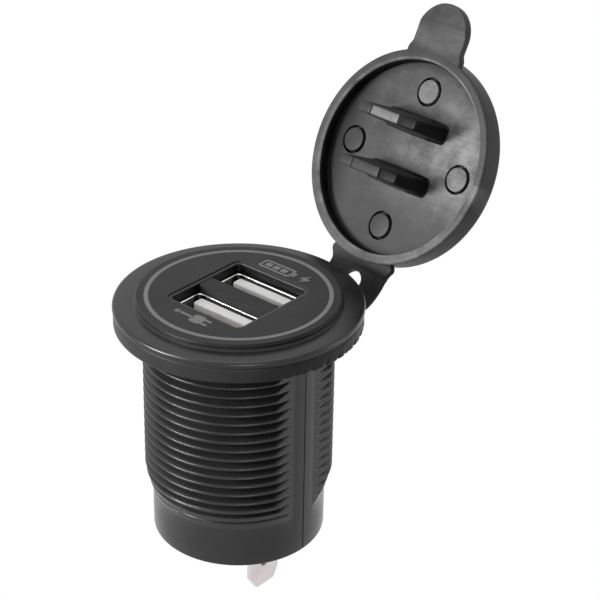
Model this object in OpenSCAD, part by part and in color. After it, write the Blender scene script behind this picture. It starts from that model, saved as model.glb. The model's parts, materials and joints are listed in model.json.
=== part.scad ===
// Dual USB charging socket for a round panel hole, with a soft flip cap.
// Units are millimetres. Z is the barrel axis and points out of the panel; Z = 0 is the panel face,
// which the cap's ring lies on. +Y points from the middle of the ports to the side of the cap's strap.

/* [View] */
// which sub-part is made; "all" makes the whole socket

/* [Flange and face] */
// outer radius of the flange
flange_r = 18.5; // [17:0.1:21]
// thickness of the flange
flange_t = 1.0; // [0.8:0.1:3]
// width of the flange outside the raised face
face_margin = 3.35; // [2:0.05:5]
// height of the raised face above the flange
face_h = 1.0; // [0.6:0.1:2]
// thickness of the printed overlay on the face
overlay_t = 0.2; // [0.1:0.05:0.4]
// margin of the face plate left bare around the overlay
overlay_margin = 0.15; // [0.05:0.05:0.5]

/* [Barrel] */
// distance from the ports' corners to the outside of the plain barrel
port_wall = 3.434; // [3:0.001:5]
// height of the thread crests over the plain barrel
thread_rise = 1.15; // [0.8:0.05:1.6]
// distance of the thread's sharp roots outside the plain barrel
thread_root_out = 0.06; // [0.05:0.01:0.3]
// pitch of the thread
thread_pitch = 1.52; // [1:0.01:2.5]
// number of crests on the front half
thread_crests = 18; // [10:1:22]
// height of the lowest crest
thread_low_z = -25.65; // [-32:0.01:-15]
// half angle of the plain strips at the two mould lines
strip_half_angle = 15; // [8:0.5:25]
// level of the bottom rim of the barrel
barrel_bottom_z = -34.85; // [-50:0.05:-30]
// wall thickness of the barrel
barrel_wall = 1.5; // [1:0.1:2.2]

/* [Ports] */
// length of a port shell along X
shell_w = 13.2; // [12.8:0.1:14]
// width of a port shell along Y
shell_h = 5.7; // [5.2:0.1:6.5]
// sheet thickness of a port shell
shell_t = 0.3; // [0.2:0.05:0.5]
// distance of a port's middle from the middle of the face
port_offset = 4.24; // [3.8:0.01:5.5]
// depth of the shells' rims below the face
shell_depth = 1.6; // [0.5:0.1:4]
// length of the shells
shell_len = 13.5; // [10:0.5:16]
// gap between shells and everything around them
shell_gap = 0.05; // [0.02:0.01:0.2]
// gap between each end of the white tongue and the shell
tongue_side_gap = 0.75; // [0.4:0.05:1.5]
// thickness of the white tongue
tongue_t = 1.84; // [1.5:0.01:2.2]
// gap between the tongue's back and the shell
tongue_back_gap = 0.35; // [0.2:0.05:1]
// depth of the tongue's end below the shell's rim
tongue_depth = 0.3; // [0:0.1:1]

/* [Terminals] */
// width of a blade
blade_w = 6.3; // [4.8:0.1:9.5]
// thickness of a blade
blade_t = 0.8; // [0.5:0.1:1.2]
// distance of a blade from the barrel axis, along X
blade_x = 5.0; // [3:0.1:8]
// length of blade that stands out below the barrel
blade_out = 10.25; // [6:0.25:16]

/* [Cap ring] */
// thickness of the cap's ring
ring_t = 2.4; // [1:0.1:4]
// distance of the ring's edge inside the flange's edge
ring_inset = 0.1; // [0:0.05:0.5]
// running gap between the thread crests and the ring's bore
ring_gap = 0.13; // [0.05:0.01:0.6]
// turn of the ring on the barrel, as photographed, in degrees
ring_turn = -6.2; // [-20:0.1:20]

/* [Cap lid] */
// thickness of the lid's wall
lid_wall = 1.52; // [1:0.01:2.5]
// gap between the lid's wall and the raised face
lid_gap = 0.13; // [0.05:0.01:0.4]
// depth of the lid's hollow
lid_depth = 2.25; // [1.4:0.05:4]
// thickness of the lid's floor
lid_floor = 1.9; // [1:0.1:3]
// height of the dummy plugs
plug_h = 7.8; // [3:0.1:9]
// gap between each end of a dummy plug and the port's shell
plug_end_gap = 0.3; // [0.1:0.05:1]
// thickness of the dummy plugs at the floor
plug_t = 2.5; // [1.5:0.05:2.8]
// thickness of the dummy plugs at the tip
plug_tip_t = 1.6; // [1:0.05:2.5]
// radius of the round pads in the lid
pad_r = 2.0; // [1:0.1:3]
// distance of the round pads' middles from the lid's wall
pad_inset = 4.38; // [3:0.01:8]
// half width of the pull tab
tab_half_w = 4.9; // [3:0.1:8]
// length of the tab outside the lid's wall
tab_len = 7.7; // [4:0.1:12]
// thickness of the pull tab
tab_t = 1.3; // [0.8:0.1:2]
// opening angle of the lid, as photographed
lid_open = 118.06; // [0:0.01:130]

/* [Cap strap] */
// half width of the strap
strap_half_w = 5.6; // [3:0.1:8]
// thickness of the strap
strap_t = 0.95; // [0.6:0.05:1.6]
// radius of the hole in the strap
strap_hole_r = 1.9; // [0.5:0.1:3]

/* [Hidden] */
$fn = 96;

// levels, from the panel face up
flange_bottom = ring_t;
flange_top = flange_bottom + flange_t;
face_top = flange_top + face_h;
plate_top = face_top - overlay_t;
// the barrel takes in the ports' corners, and its bore
face_r = flange_r - face_margin;
barrel_r = norm([shell_w / 2, port_offset + shell_h / 2]) + port_wall;
bore_r = barrel_r - barrel_wall;
thread_r = barrel_r + thread_rise;
// slant of each thread half, and how far its uppermost crest leans out over the crests' radius
thread_tilt = atan(0.22 * thread_pitch / thread_r);
thread_lean = thread_crests / 2 * thread_pitch * sin(thread_tilt);
lead_low = thread_low_z - 2.6;
lead_len = 4.1;
// window in the face plate and in the overlay
window_x = shell_w + 0.3;
window_y = 2 * port_offset + shell_h + 0.72;
overlay_window_grow = 1.1;
window_round = 0.8;
// skirt of the face plate inside the barrel
skirt_gap = 0.1;
skirt_r = bore_r - skirt_gap;
skirt_wall = 0.9;
skirt_len = 5.2;
skirt_low = flange_bottom - skirt_len;
foot_fillet = 0.3;
// port block
block_gap = 0.05;
block_r = skirt_r - skirt_wall - block_gap;
shell_top = face_top - shell_depth;
shell_bottom = shell_top - shell_len;
block_top = flange_top - 0.5;
block_bottom = shell_bottom + 3.2;
bar_top = face_top - 0.3;
bar_w = 2 * port_offset - shell_h - 2 * shell_gap;
// tongue and contacts
tongue_w = shell_w - 2 * shell_t - 2 * tongue_side_gap;
tongue_top = shell_top - tongue_depth;
tongue_hi = shell_h / 2 - shell_t - tongue_back_gap;
tongue_lo = tongue_hi - tongue_t;
base_gap = 0.05;
base_top = shell_bottom + 4.4;
contact_t = 0.25;
contact_pitch = 0.076 * shell_w;
contact_x = [-3.5 * contact_pitch, -contact_pitch, contact_pitch, 3.5 * contact_pitch];
contact_half = contact_pitch / 2;
// board
board_t = 1.6;
board_r = bore_r - 0.12;
board_top = shell_bottom;
board_low = board_top - board_t;
pin_recess = 0.1;
// parts under the board, from the size of the bore
part_gap = 1.2;
coil_r = 0.36 * bore_r;
coil_waist_r = 0.28 * bore_r;
coil_h = 0.46 * bore_r;
coil_lip = 0.095 * bore_r;
coil_y = bore_r - coil_r - part_gap;
can_r = 0.26 * bore_r;
can_h = 0.6 * bore_r;
can_lip_r = 1.04 * can_r;
can_lip = 0.11 * bore_r;
can_x = can_lip_r + 0.2 * part_gap;
can_y = -0.57 * bore_r;
chip_w = 0.26 * bore_r;
chip_len = 0.38 * bore_r;
chip_h = 0.13 * bore_r;
chip_x = 0.62 * bore_r;
chip_y = 0.08 * bore_r;
diode_w = 0.4 * bore_r;
diode_len = 0.23 * bore_r;
diode_h = 0.18 * bore_r;
led_x = 0.72 * bore_r;
// rear cover and blades
cover_recess = 1.0;
cover_t = 2.6;
cover_low = barrel_bottom_z + cover_recess;
cover_top = cover_low + cover_t;
cover_gap = 0.05;
cover_r = bore_r - cover_gap;
ledge_w = 0.8;
blade_low = barrel_bottom_z - blade_out;
blade_high = cover_top + 4.6;
blade_stop = 1.2;
wire_r = 0.75;
// cap
ring_r = flange_r - ring_inset;
ring_bore = thread_r + thread_lean + ring_gap;
lid_inner = face_r + lid_gap;
lid_r = lid_inner + lid_wall;
pad_at = lid_inner - pad_inset;
tab_reach = lid_r + tab_len;
lid_low = flange_top + 0.02;
lid_floor_z = lid_low + lid_depth;
lid_top = lid_floor_z + lid_floor;
// the lid's turning line, in the ring's own directions
hinge_out = 1.733;
hinge_y = ring_r + hinge_out;
hinge_z = 0.247;
hinge_dir = [0.99989, 0.01272, 0.00763];
// places of the dummy plugs beside the tongues
plug_shift = [-1.22, -1.26];
plug_y = [port_offset + plug_shift[0], -port_offset + plug_shift[1]];
plug_len = shell_w - 2 * shell_t - 2 * plug_end_gap;
lug_short = 1.533;
lug_end = hinge_y - lug_short;
// middle line of the strap, from the ring to the lid, as [distance outside the ring, z]
strap_way = [[-0.8, 1.2], [0.1, 0.6], [0.65, -0.7], [0.95, -2.0], [1.45, -2.95], [2.2, -3.3],
             [3.1, -3.0], [4.1, -2.4], [5.2, -1.45], [5.95, -0.6]];
strap_line = [for (p = strap_way) [ring_r + p[0], p[1]]];
strap_hole_at = [4.8, -1.75];

// a rectangle with round corners
module round_rect(w, h, r) {
  union() {
    square([w - 2 * r, h], center = true);
    square([w, h - 2 * r], center = true);
    for (x = [-1, 1], y = [-1, 1]) translate([x * (w / 2 - r), y * (h / 2 - r)]) circle(r);
  }
}

// everything that turns with the ring
module ring_place() rotate([0, 0, ring_turn]) children();

// from the closed place to the photographed one
module lid_place()
  ring_place() translate([0, hinge_y, hinge_z]) rotate(a = -lid_open, v = hinge_dir)
    translate([0, -hinge_y, -hinge_z]) children();

// ridges of one half of the thread, as one turned comb
module thread_half(count, low) {
  flat = 0.2;
  foot = thread_pitch / 2;
  root = barrel_r + thread_root_out;
  base = barrel_r - 0.9;
  points = concat(
    [[base, low - foot], [root, low - foot]],
    [for (k = [0:count - 1], p = [[thread_r, -flat / 2], [thread_r, flat / 2], [root, foot]])
      [p[0], low + k * thread_pitch + p[1]]],
    [[base, low + (count - 1) * thread_pitch + foot]]);
  rotate_extrude(angle = 180 - 2 * strip_half_angle) polygon(points);
}

module housing() {
  flat_x = thread_r * cos(strip_half_angle) - 0.85;
  middle_z = thread_low_z + thread_crests / 2 * thread_pitch;
  color([0.10, 0.10, 0.10]) difference() {
    union() {
      // plain barrel with its lead-in below the thread
      translate([0, 0, barrel_bottom_z]) cylinder(r = barrel_r, h = flange_bottom - barrel_bottom_z);
      translate([0, 0, lead_low]) cylinder(r1 = barrel_r, r2 = barrel_r + 0.35, h = 1.4);
      // flange with a round upper edge and a small chamfer below
      rotate_extrude() union() {
        polygon([[barrel_r - 0.5, flange_bottom], [flange_r - 0.2, flange_bottom],
                 [flange_r, flange_bottom + 0.2], [flange_r, flange_top - 0.5],
                 [flange_r - 0.5, flange_top], [barrel_r - 0.5, flange_top]]);
        translate([flange_r - 0.5, flange_top - 0.5]) circle(0.5);
      }
      // the two threaded halves
      intersection() {
        translate([0, 0, middle_z]) union() {
          rotate([0, -thread_tilt, 0]) rotate([0, 0, 180 + strip_half_angle])
            thread_half(thread_crests, thread_low_z - middle_z);
          rotate([0, thread_tilt, 0]) rotate([0, 0, strip_half_angle])
            thread_half(thread_crests, thread_low_z + thread_pitch / 2 - middle_z);
        }
        // flats of the two plain strips, and the cone that the lowest crests run out in
        translate([-flat_x, -thread_r - 1, lead_low]) cube([2 * flat_x, 2 * thread_r + 2, flange_bottom - lead_low]);
        rotate_extrude() polygon([[0, lead_low], [barrel_r, lead_low], [thread_r + 0.2, lead_low + lead_len],
                                  [thread_r + 0.2, flange_bottom], [0, flange_bottom]]);
      }
    }
    // bore, with the seat of the rear cover
    translate([0, 0, barrel_bottom_z - 1]) cylinder(r = bore_r, h = flange_top - barrel_bottom_z + 2);
    // chamfer at the bottom rim
    translate([0, 0, barrel_bottom_z - 0.01]) cylinder(r1 = bore_r + 0.4, r2 = bore_r, h = 0.4);
    // thin groove at the two mould lines
    for (s = [-1, 1]) translate([s * barrel_r, 0, (barrel_bottom_z + flange_bottom) / 2])
      cube([0.12, 0.16, flange_bottom - barrel_bottom_z - 0.4], center = true);
    // notch at the foot of each mould line
    for (s = [-1, 1]) translate([s * barrel_r, 0, barrel_bottom_z])
      cube([0.5, 0.8, 0.7], center = true);
  }
  // ledge that the rear cover is pushed up against
  color([0.10, 0.10, 0.10]) translate([0, 0, cover_top]) difference() {
    cylinder(r = bore_r + 0.3, h = 1.6);
    translate([0, 0, -0.5]) cylinder(r = bore_r - ledge_w, h = 1.3);
    translate([0, 0, 0.8]) cylinder(r1 = bore_r - ledge_w, r2 = bore_r, h = 0.8);
  }
  // stops that the board rests on
  color([0.10, 0.10, 0.10]) for (a = [45, 135, 225, 315]) rotate([0, 0, a]) intersection() {
    translate([bore_r - 1.2, -1.5, board_low - 6]) cube([1.8, 3, 6]);
    cylinder(r = bore_r + 0.3, h = 200, center = true);
  }
}

module face_plate() {
  color([0.16, 0.16, 0.16]) difference() {
    union() {
      // raised face with a small edge chamfer
      rotate_extrude() polygon([[0, flange_top], [face_r + foot_fillet, flange_top],
                                [face_r + 0.7 * foot_fillet, flange_top + 0.1], [face_r, flange_top + 0.24],
                                [face_r, plate_top - 0.1], [face_r - 0.1, plate_top], [0, plate_top]]);
      // skirt
      translate([0, 0, skirt_low]) cylinder(r = skirt_r, h = flange_top - skirt_low + 0.1);
    }
    // room for the port block
    translate([0, 0, skirt_low - 1]) cylinder(r = skirt_r - skirt_wall, h = block_top - skirt_low + 1);
    // window
    translate([0, 0, block_top - 1]) linear_extrude(5) round_rect(window_x, window_y, window_round);
  }
}

module face_overlay() {
  color([0.25, 0.25, 0.25]) translate([0, 0, plate_top]) linear_extrude(overlay_t) difference() {
    circle(face_r - overlay_margin);
    round_rect(window_x + overlay_window_grow, window_y + overlay_window_grow, window_round + 0.3);
  }
}

module port_block() {
  color([0.24, 0.24, 0.24]) difference() {
    union() {
      translate([0, 0, block_bottom]) cylinder(r = block_r, h = block_top - block_bottom);
      // bar between the ports
      translate([-window_x / 2 + 0.1, -bar_w / 2, block_top - 1]) cube([window_x - 0.2, bar_w, bar_top - block_top + 1]);
    }
    for (s = [-1, 1]) translate([0, s * port_offset, block_bottom - 1])
      linear_extrude(block_top - block_bottom + 2)
        round_rect(shell_w + 2 * shell_gap, shell_h + 2 * shell_gap, 0.6);
  }
}

module usb_shell() {
  color([0.85, 0.85, 0.85]) difference() {
    translate([0, 0, shell_bottom]) linear_extrude(shell_len) round_rect(shell_w, shell_h, 0.55);
    translate([0, 0, shell_bottom - 1]) linear_extrude(shell_len + 2)
      round_rect(shell_w - 2 * shell_t, shell_h - 2 * shell_t, 0.3);
    // openings around the spring tabs on both long sides
    for (s = [-1, 1], x = [-3, 3]) translate([x, s * shell_h / 2, shell_top - 6.5]) difference() {
      cube([2.8, 2, 7], center = true);
      translate([0, 0, -0.5]) cube([2, 3, 6.1], center = true);
    }
  }
}
module usb_shell_1() translate([0, port_offset, 0]) usb_shell();
module usb_shell_2() translate([0, -port_offset, 0]) usb_shell();

// the four contact strips, with a margin when they cut their own slots
module contacts(m) {
  for (i = [0:3]) {
    half = contact_half + m;
    low = m > 0 ? board_low - 1 : board_low + pin_recess;
    translate([contact_x[i] - half, tongue_lo - contact_t - m, low])
      cube([2 * half, contact_t + 2 * m, tongue_top - 1.2 - low + m]);
  }
}

module usb_tongue() {
  color([0.93, 0.93, 0.91]) difference() {
    union() {
      // tongue with a chamfered end
      translate([-tongue_w / 2, tongue_lo, base_top - 0.5]) cube([tongue_w, tongue_t, tongue_top - 0.25 - base_top + 0.5]);
      translate([-tongue_w / 2 + 0.25, tongue_lo + 0.25, base_top]) cube([tongue_w - 0.5, tongue_t - 0.5, tongue_top - base_top]);
      // base that fills the shell
      translate([0, 0, shell_bottom]) linear_extrude(base_top - shell_bottom)
        round_rect(shell_w - 2 * shell_t - 2 * base_gap, shell_h - 2 * shell_t - 2 * base_gap, 0.3);
    }
    contacts(0);
  }
}
module usb_tongue_1() translate([0, port_offset, 0]) usb_tongue();
module usb_tongue_2() translate([0, -port_offset, 0]) usb_tongue();

module usb_contacts_1() color([0.85, 0.70, 0.35]) translate([0, port_offset, 0]) contacts(0);
module usb_contacts_2() color([0.85, 0.70, 0.35]) translate([0, -port_offset, 0]) contacts(0);

module port_board() {
  color([0.10, 0.32, 0.18]) difference() {
    translate([0, 0, board_low]) cylinder(r = board_r, h = board_t);
    // slots for the contact pins
    for (s = [-1, 1]) translate([0, s * port_offset, 0]) contacts(0.04);
  }
}

module inductor() {
  // ferrite drum with a wound waist
  color([0.30, 0.30, 0.32]) translate([0, coil_y, board_low - coil_h]) union() {
    cylinder(r = coil_r, h = coil_lip);
    cylinder(r = coil_waist_r, h = coil_h);
    translate([0, 0, coil_h - coil_lip]) cylinder(r = coil_r, h = coil_lip);
  }
}

module capacitors() {
  color([0.20, 0.22, 0.28]) for (s = [-1, 1]) translate([s * can_x, can_y, board_low - can_h - can_lip]) union() {
    cylinder(r = can_r, h = can_h);
    translate([0, 0, can_h]) cylinder(r = can_lip_r, h = can_lip);
  }
}

module controller_chips() {
  color([0.08, 0.08, 0.08]) for (s = [-1, 1])
    translate([s * chip_x - chip_w / 2, chip_y, board_low - chip_h]) cube([chip_w, chip_len, chip_h]);
}

module rectifier_diode() {
  color([0.12, 0.12, 0.12]) translate([-diode_w / 2, -0.75 * diode_len, board_low - diode_h])
    cube([diode_w, diode_len, diode_h]);
}

module indicator_led() {
  color([0.95, 0.95, 0.80]) translate([led_x, -0.8, board_top]) cube([0.9, 1.6, 0.8]);
}

module wire(x) translate([x, 0, blade_high]) cylinder(r = wire_r, h = board_low - blade_high);
module wire_positive() color([0.75, 0.10, 0.10]) wire(blade_x);
module wire_negative() color([0.10, 0.10, 0.10]) wire(-blade_x);

module rear_cover() {
  color([0.13, 0.13, 0.13]) difference() {
    union() {
      translate([0, 0, cover_low]) cylinder(r = cover_r, h = cover_t);
      // raised ribs around the blade slots
      for (s = [-1, 1]) translate([s * blade_x - 1.3, -blade_w / 2 - 0.9, cover_low - 0.6])
        cube([2.6, blade_w + 1.8, 1.2]);
    }
    for (s = [-1, 1]) translate([s * blade_x - blade_t / 2, -blade_w / 2, cover_low - 2])
      cube([blade_t, blade_w, cover_t + 4]);
  }
}

// one blade with its pointed end, its hole and the shoulders that keep it in the cover
module blade(x) {
  color([0.86, 0.84, 0.82]) translate([x - blade_t / 2, 0, 0]) rotate([90, 0, 90]) linear_extrude(blade_t) difference() {
    union() {
      polygon([[-blade_w / 2, cover_top + blade_stop], [-blade_w / 2, blade_low + 2.2], [-blade_w / 2 + 1.5, blade_low],
               [blade_w / 2 - 0.95, blade_low], [blade_w / 2, blade_low + 1.9], [blade_w / 2, cover_top + blade_stop]]);
      // shoulders above the cover
      translate([-blade_w / 2 - 0.8, cover_top]) square([blade_w + 1.6, blade_stop]);
      // solder tail
      translate([-1.2, cover_top]) square([2.4, blade_high - cover_top]);
    }
    translate([0, blade_low + 4.2]) circle(0.85);
  }
}
module blade_positive() blade(blade_x);
module blade_negative() blade(-blade_x);

module cap_ring() {
  color([0.17, 0.17, 0.17]) ring_place() difference() {
    rotate_extrude() difference() {
      union() {
        polygon([[ring_bore, 0], [ring_r - 0.3, 0], [ring_r, 0.3], [ring_r, ring_t - 0.4],
                 [ring_r - 0.4, ring_t], [ring_bore, ring_t]]);
        translate([ring_r - 0.4, ring_t - 0.4]) circle(0.4);
        translate([ring_r - 0.3, 0.3]) circle(0.3);
      }
    }
    // shallow nicks left by the mould at the lower edge
    for (a = [28, 35, 43, 52]) rotate([0, 0, a]) translate([ring_r, 0, 0.25])
      cube([0.5, 1.1, 0.7], center = true);
  }
}

// offset points on one side of the strap's middle line
function strap_dir(i) =
  let (a = strap_line[max(0, i - 1)], b = strap_line[min(len(strap_line) - 1, i + 1)], d = b - a)
    d / norm(d);
function strap_side(s) = [for (i = [0:len(strap_line) - 1])
  strap_line[i] + s * strap_t / 2 * [-strap_dir(i)[1], strap_dir(i)[0]]];

module strap_body() {
  upper = strap_side(1);
  lower = strap_side(-1);
  n = len(upper);
  rotate([90, 0, 90]) linear_extrude(2 * strap_half_w, center = true)
    polygon(concat(upper, [for (i = [n - 1:-1:0]) lower[i]]));
}

module cap_strap() {
  color([0.17, 0.17, 0.17]) ring_place() difference() {
    strap_body();
    // the ring's own room
    translate([0, 0, -0.5]) cylinder(r = ring_r, h = ring_t + 1);
    // hole through the outer bend
    translate([0, ring_r + strap_hole_at[0], strap_hole_at[1]]) rotate([-58, 0, 0])
      cylinder(r = strap_hole_r, h = 6, center = true);
    // the lid's own room
    translate([0, hinge_y, hinge_z]) rotate(a = -lid_open, v = hinge_dir)
      translate([-10, lug_end - hinge_y - 6, lid_low - hinge_z - 1]) cube([20, 6, 8]);
  }
}

// one dummy plug: a tapered fin with a softened tip and two fine cross grooves
module plug() {
  groove = 0.3;
  difference() {
    rotate([90, 0, 90]) linear_extrude(plug_len, center = true)
      polygon([[-plug_t / 2, 0.2], [-plug_tip_t / 2 - 0.05, -plug_h + 0.4], [-plug_tip_t / 2 + 0.2, -plug_h],
               [plug_tip_t / 2 - 0.2, -plug_h], [plug_tip_t / 2 + 0.05, -plug_h + 0.4], [plug_t / 2, 0.2]]);
    // ends lean in towards the tip
    for (s = [-1, 1]) translate([s * plug_len / 2, 0, 0]) rotate([0, s * 3, 0])
      translate([s > 0 ? 0 : -3, -3, -12]) cube([3, 6, 11.9]);
    for (x = [-3.35, 2.55]) translate([x, 0, -plug_h]) cube([groove, 6, 0.7], center = true);
    // end lands lie a little lower than the middle land
    for (s = [-1, 1]) translate([s > 0 ? 2.55 : -3.35 - 4, -3, -plug_h - 1]) cube([4, 6, 1.2]);
  }
}

// the lid in its closed place
module lid_closed() {
  inner_low = 1.3;
  difference() {
    union() {
      rotate_extrude() union() {
        polygon([[0, lid_low], [lid_r, lid_low], [lid_r, lid_top - 0.9], [lid_r - 0.9, lid_top], [0, lid_top]]);
        translate([lid_r - 0.9, lid_top - 0.9]) circle(0.9);
      }
      // pull tab with its thicker end
      translate([0, 0, lid_low]) linear_extrude(tab_t) union() {
        translate([-tab_half_w, -tab_reach + tab_half_w]) square([2 * tab_half_w, 10]);
        translate([0, -tab_reach + tab_half_w]) circle(tab_half_w);
      }
      translate([0, 0, lid_low - 0.5]) linear_extrude(0.6) intersection() {
        translate([0, -tab_reach + tab_half_w]) circle(tab_half_w);
        translate([-10, -tab_reach - 1]) square([20, 4.9]);
      }
      // lug that the strap joins
      translate([-strap_half_w, 8, lid_floor_z - 1.55]) cube([2 * strap_half_w, lug_end - 8, strap_t]);
      for (s = [-1, 1]) translate([s * strap_half_w, lid_r - 1.6, lid_floor_z - 1.55])
        linear_extrude(strap_t) polygon([[0, -2], [s * 1.3, -1.0], [0, 1.2]]);
    }
    // hollow with a sloping foot and a lit edge at the rim
    rotate_extrude() polygon([[0, lid_low - 1], [lid_inner + 0.3, lid_low - 1], [lid_inner + 0.3, lid_low],
                              [lid_inner, lid_low + 0.3], [lid_inner, lid_low + inner_low],
                              [lid_inner - 0.75, lid_floor_z], [0, lid_floor_z]]);
    // shallow panel on the outside
    translate([0, 0, lid_top - 0.25]) cylinder(r = lid_r - 2.6, h = 1);
  }
  for (y = plug_y) translate([0, y, lid_floor_z]) plug();
  for (a = [0, 90, 180, 270]) rotate([0, 0, a]) translate([pad_at, 0, lid_floor_z - 0.4]) cylinder(r = pad_r, h = 0.6);
}

module cap_lid() color([0.17, 0.17, 0.17]) lid_place() lid_closed();

housing();
face_plate();
face_overlay();
port_block();
usb_shell_1();
usb_shell_2();
usb_tongue_1();
usb_tongue_2();
usb_contacts_1();
usb_contacts_2();
port_board();
inductor();
capacitors();
controller_chips();
rectifier_diode();
indicator_led();
wire_positive();
wire_negative();
rear_cover();
blade_positive();
blade_negative();
cap_ring();
cap_strap();
cap_lid();
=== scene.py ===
"""Looks of a round dual USB charging socket with a soft flip cap.

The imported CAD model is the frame. Sizes here are in millimetres and become metres when a mesh is
made. Z is the barrel axis and points out of the panel, and +Y points to the side of the strap.
"""

from __future__ import annotations

import json
import logging
import math
from collections.abc import Callable
from dataclasses import dataclass, replace
from enum import Enum

import bmesh
import bpy
import numpy as np
from mathutils import Matrix, Vector
from mathutils.geometry import delaunay_2d_cdt

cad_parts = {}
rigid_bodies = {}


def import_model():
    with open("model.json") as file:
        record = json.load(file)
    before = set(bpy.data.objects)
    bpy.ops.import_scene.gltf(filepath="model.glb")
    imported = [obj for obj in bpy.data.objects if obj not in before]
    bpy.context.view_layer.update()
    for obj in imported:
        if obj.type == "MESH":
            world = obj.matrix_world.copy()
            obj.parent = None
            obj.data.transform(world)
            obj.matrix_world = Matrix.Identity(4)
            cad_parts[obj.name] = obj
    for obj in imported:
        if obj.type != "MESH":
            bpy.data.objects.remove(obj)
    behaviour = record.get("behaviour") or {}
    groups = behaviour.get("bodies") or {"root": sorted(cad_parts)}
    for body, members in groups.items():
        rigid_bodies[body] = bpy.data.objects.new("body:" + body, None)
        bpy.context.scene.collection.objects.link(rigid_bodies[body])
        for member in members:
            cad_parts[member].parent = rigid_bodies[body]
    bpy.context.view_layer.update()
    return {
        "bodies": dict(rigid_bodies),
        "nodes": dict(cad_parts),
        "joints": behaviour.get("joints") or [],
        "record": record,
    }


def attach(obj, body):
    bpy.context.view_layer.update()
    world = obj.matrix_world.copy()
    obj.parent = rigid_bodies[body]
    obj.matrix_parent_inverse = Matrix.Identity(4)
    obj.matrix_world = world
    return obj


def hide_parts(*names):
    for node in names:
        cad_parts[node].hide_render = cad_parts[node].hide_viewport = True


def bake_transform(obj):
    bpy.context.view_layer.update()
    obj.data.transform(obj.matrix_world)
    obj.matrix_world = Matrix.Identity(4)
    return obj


log = logging.getLogger("socket")
MM = 0.001
WHITE = (1.0, 1.0, 1.0, 1.0)
# the corners of a rectangle: signs of x and y, and how many quarter turns its arc starts after +X
CORNERS = ((1, 1, 0), (-1, 1, 1), (-1, -1, 2), (1, -1, 3))
# spacing of a sheet's loose points, and what they keep from its rim and from its holes
LOOSE_STEP, RIM_MARGIN, HOLE_MARGIN = 1.1, 0.4, 0.3


# Small helpers for colours, nodes and meshes


def linear(code: str) -> tuple[float, float, float, float]:
    """Turns an sRGB hex colour to linear RGBA.

    Args:
        code: six hex digits after a hash sign.

    Returns:
        The four linear values.
    """
    raw = [int(code[i : i + 2], 16) / 255 for i in (1, 3, 5)]
    rgb = [c / 12.92 if c <= 0.04045 else ((c + 0.055) / 1.055) ** 2.4 for c in raw]
    return (rgb[0], rgb[1], rgb[2], 1.0)


def add(
    tree: bpy.types.NodeTree, kind: str, settings: dict | None = None, links: dict | None = None
) -> bpy.types.Node:
    """Adds one node, sets it and links it.

    Args:
        tree: the node tree.
        kind: the node's type name.
        settings: names of inputs or properties, with their values.
        links: names or numbers of inputs, with the output sockets that feed them.

    Returns:
        The new node.
    """
    node = tree.nodes.new(kind)
    for name, value in (settings or {}).items():
        if isinstance(name, int) or name in node.inputs:
            node.inputs[name].default_value = value
        else:
            setattr(node, name, value)
    for name, socket in (links or {}).items():
        tree.links.new(socket, node.inputs[name])
    return node


def link_object(name: str, data: bpy.types.ID) -> bpy.types.Object:
    """Makes an object of a mesh, camera or lamp and links it to the scene."""
    item = bpy.data.objects.new(name, data)
    bpy.context.scene.collection.objects.link(item)
    return item


def blank_tree(owner: bpy.types.Material | bpy.types.World) -> bpy.types.NodeTree:
    """Turns on the nodes of a material or world and empties their tree."""
    owner.use_nodes = True
    owner.node_tree.nodes.clear()
    return owner.node_tree


def noise(
    tree: bpy.types.NodeTree,
    size_mm: float,
    detail: float,
    roughness: float,
    vector: bpy.types.NodeSocket,
) -> bpy.types.NodeSocket:
    """Adds a noise whose features have a size in millimetres, and returns its value."""
    settings = {"Scale": 1.0 / (size_mm * MM), "Detail": detail, "Roughness": roughness}
    return add(tree, "ShaderNodeTexNoise", settings, {"Vector": vector}).outputs["Fac"]


def ranged(
    tree: bpy.types.NodeTree,
    value: bpy.types.NodeSocket,
    source: tuple[float, float],
    target: tuple[float, float] = (0.0, 1.0),
) -> bpy.types.NodeSocket:
    """Maps a value from one range to another, cut to the second one's ends."""
    span = dict(zip(("From Min", "From Max", "To Min", "To Max"), source + target))
    return add(tree, "ShaderNodeMapRange", span, {"Value": value}).outputs["Result"]


def joined(
    tree: bpy.types.NodeTree,
    operation: str,
    a: bpy.types.NodeSocket,
    b: bpy.types.NodeSocket,
    clamp: bool = False,
) -> bpy.types.NodeSocket:
    """Joins two values by a mathematical operation, and cuts the result to 0 and 1 where asked."""
    settings = {"operation": operation, "use_clamp": clamp}
    return add(tree, "ShaderNodeMath", settings, {0: a, 1: b}).outputs[0]


def mixed_shader(
    tree: bpy.types.NodeTree,
    share: bpy.types.NodeSocket,
    first: bpy.types.NodeSocket,
    second: bpy.types.NodeSocket,
) -> bpy.types.NodeSocket:
    """Mixes two shaders by the second one's share."""
    return add(tree, "ShaderNodeMixShader", {}, {0: share, 1: first, 2: second}).outputs[0]


def ray_kinds(tree: bpy.types.NodeTree) -> tuple[bpy.types.NodeSocket, bpy.types.NodeSocket]:
    """Tells apart the rays that reach a surface.

    Args:
        tree: the node tree.

    Returns:
        1 for rays from the camera, and 1 for rays by which the camera sees the surface at all:
        straight, in a reflection or through something clear.
    """
    path = add(tree, "ShaderNodeLightPath").outputs
    mirrored = joined(tree, "MAXIMUM", path["Is Camera Ray"], path["Is Glossy Ray"])
    return path["Is Camera Ray"], joined(tree, "MAXIMUM", mirrored, path["Is Transmission Ray"])


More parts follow.
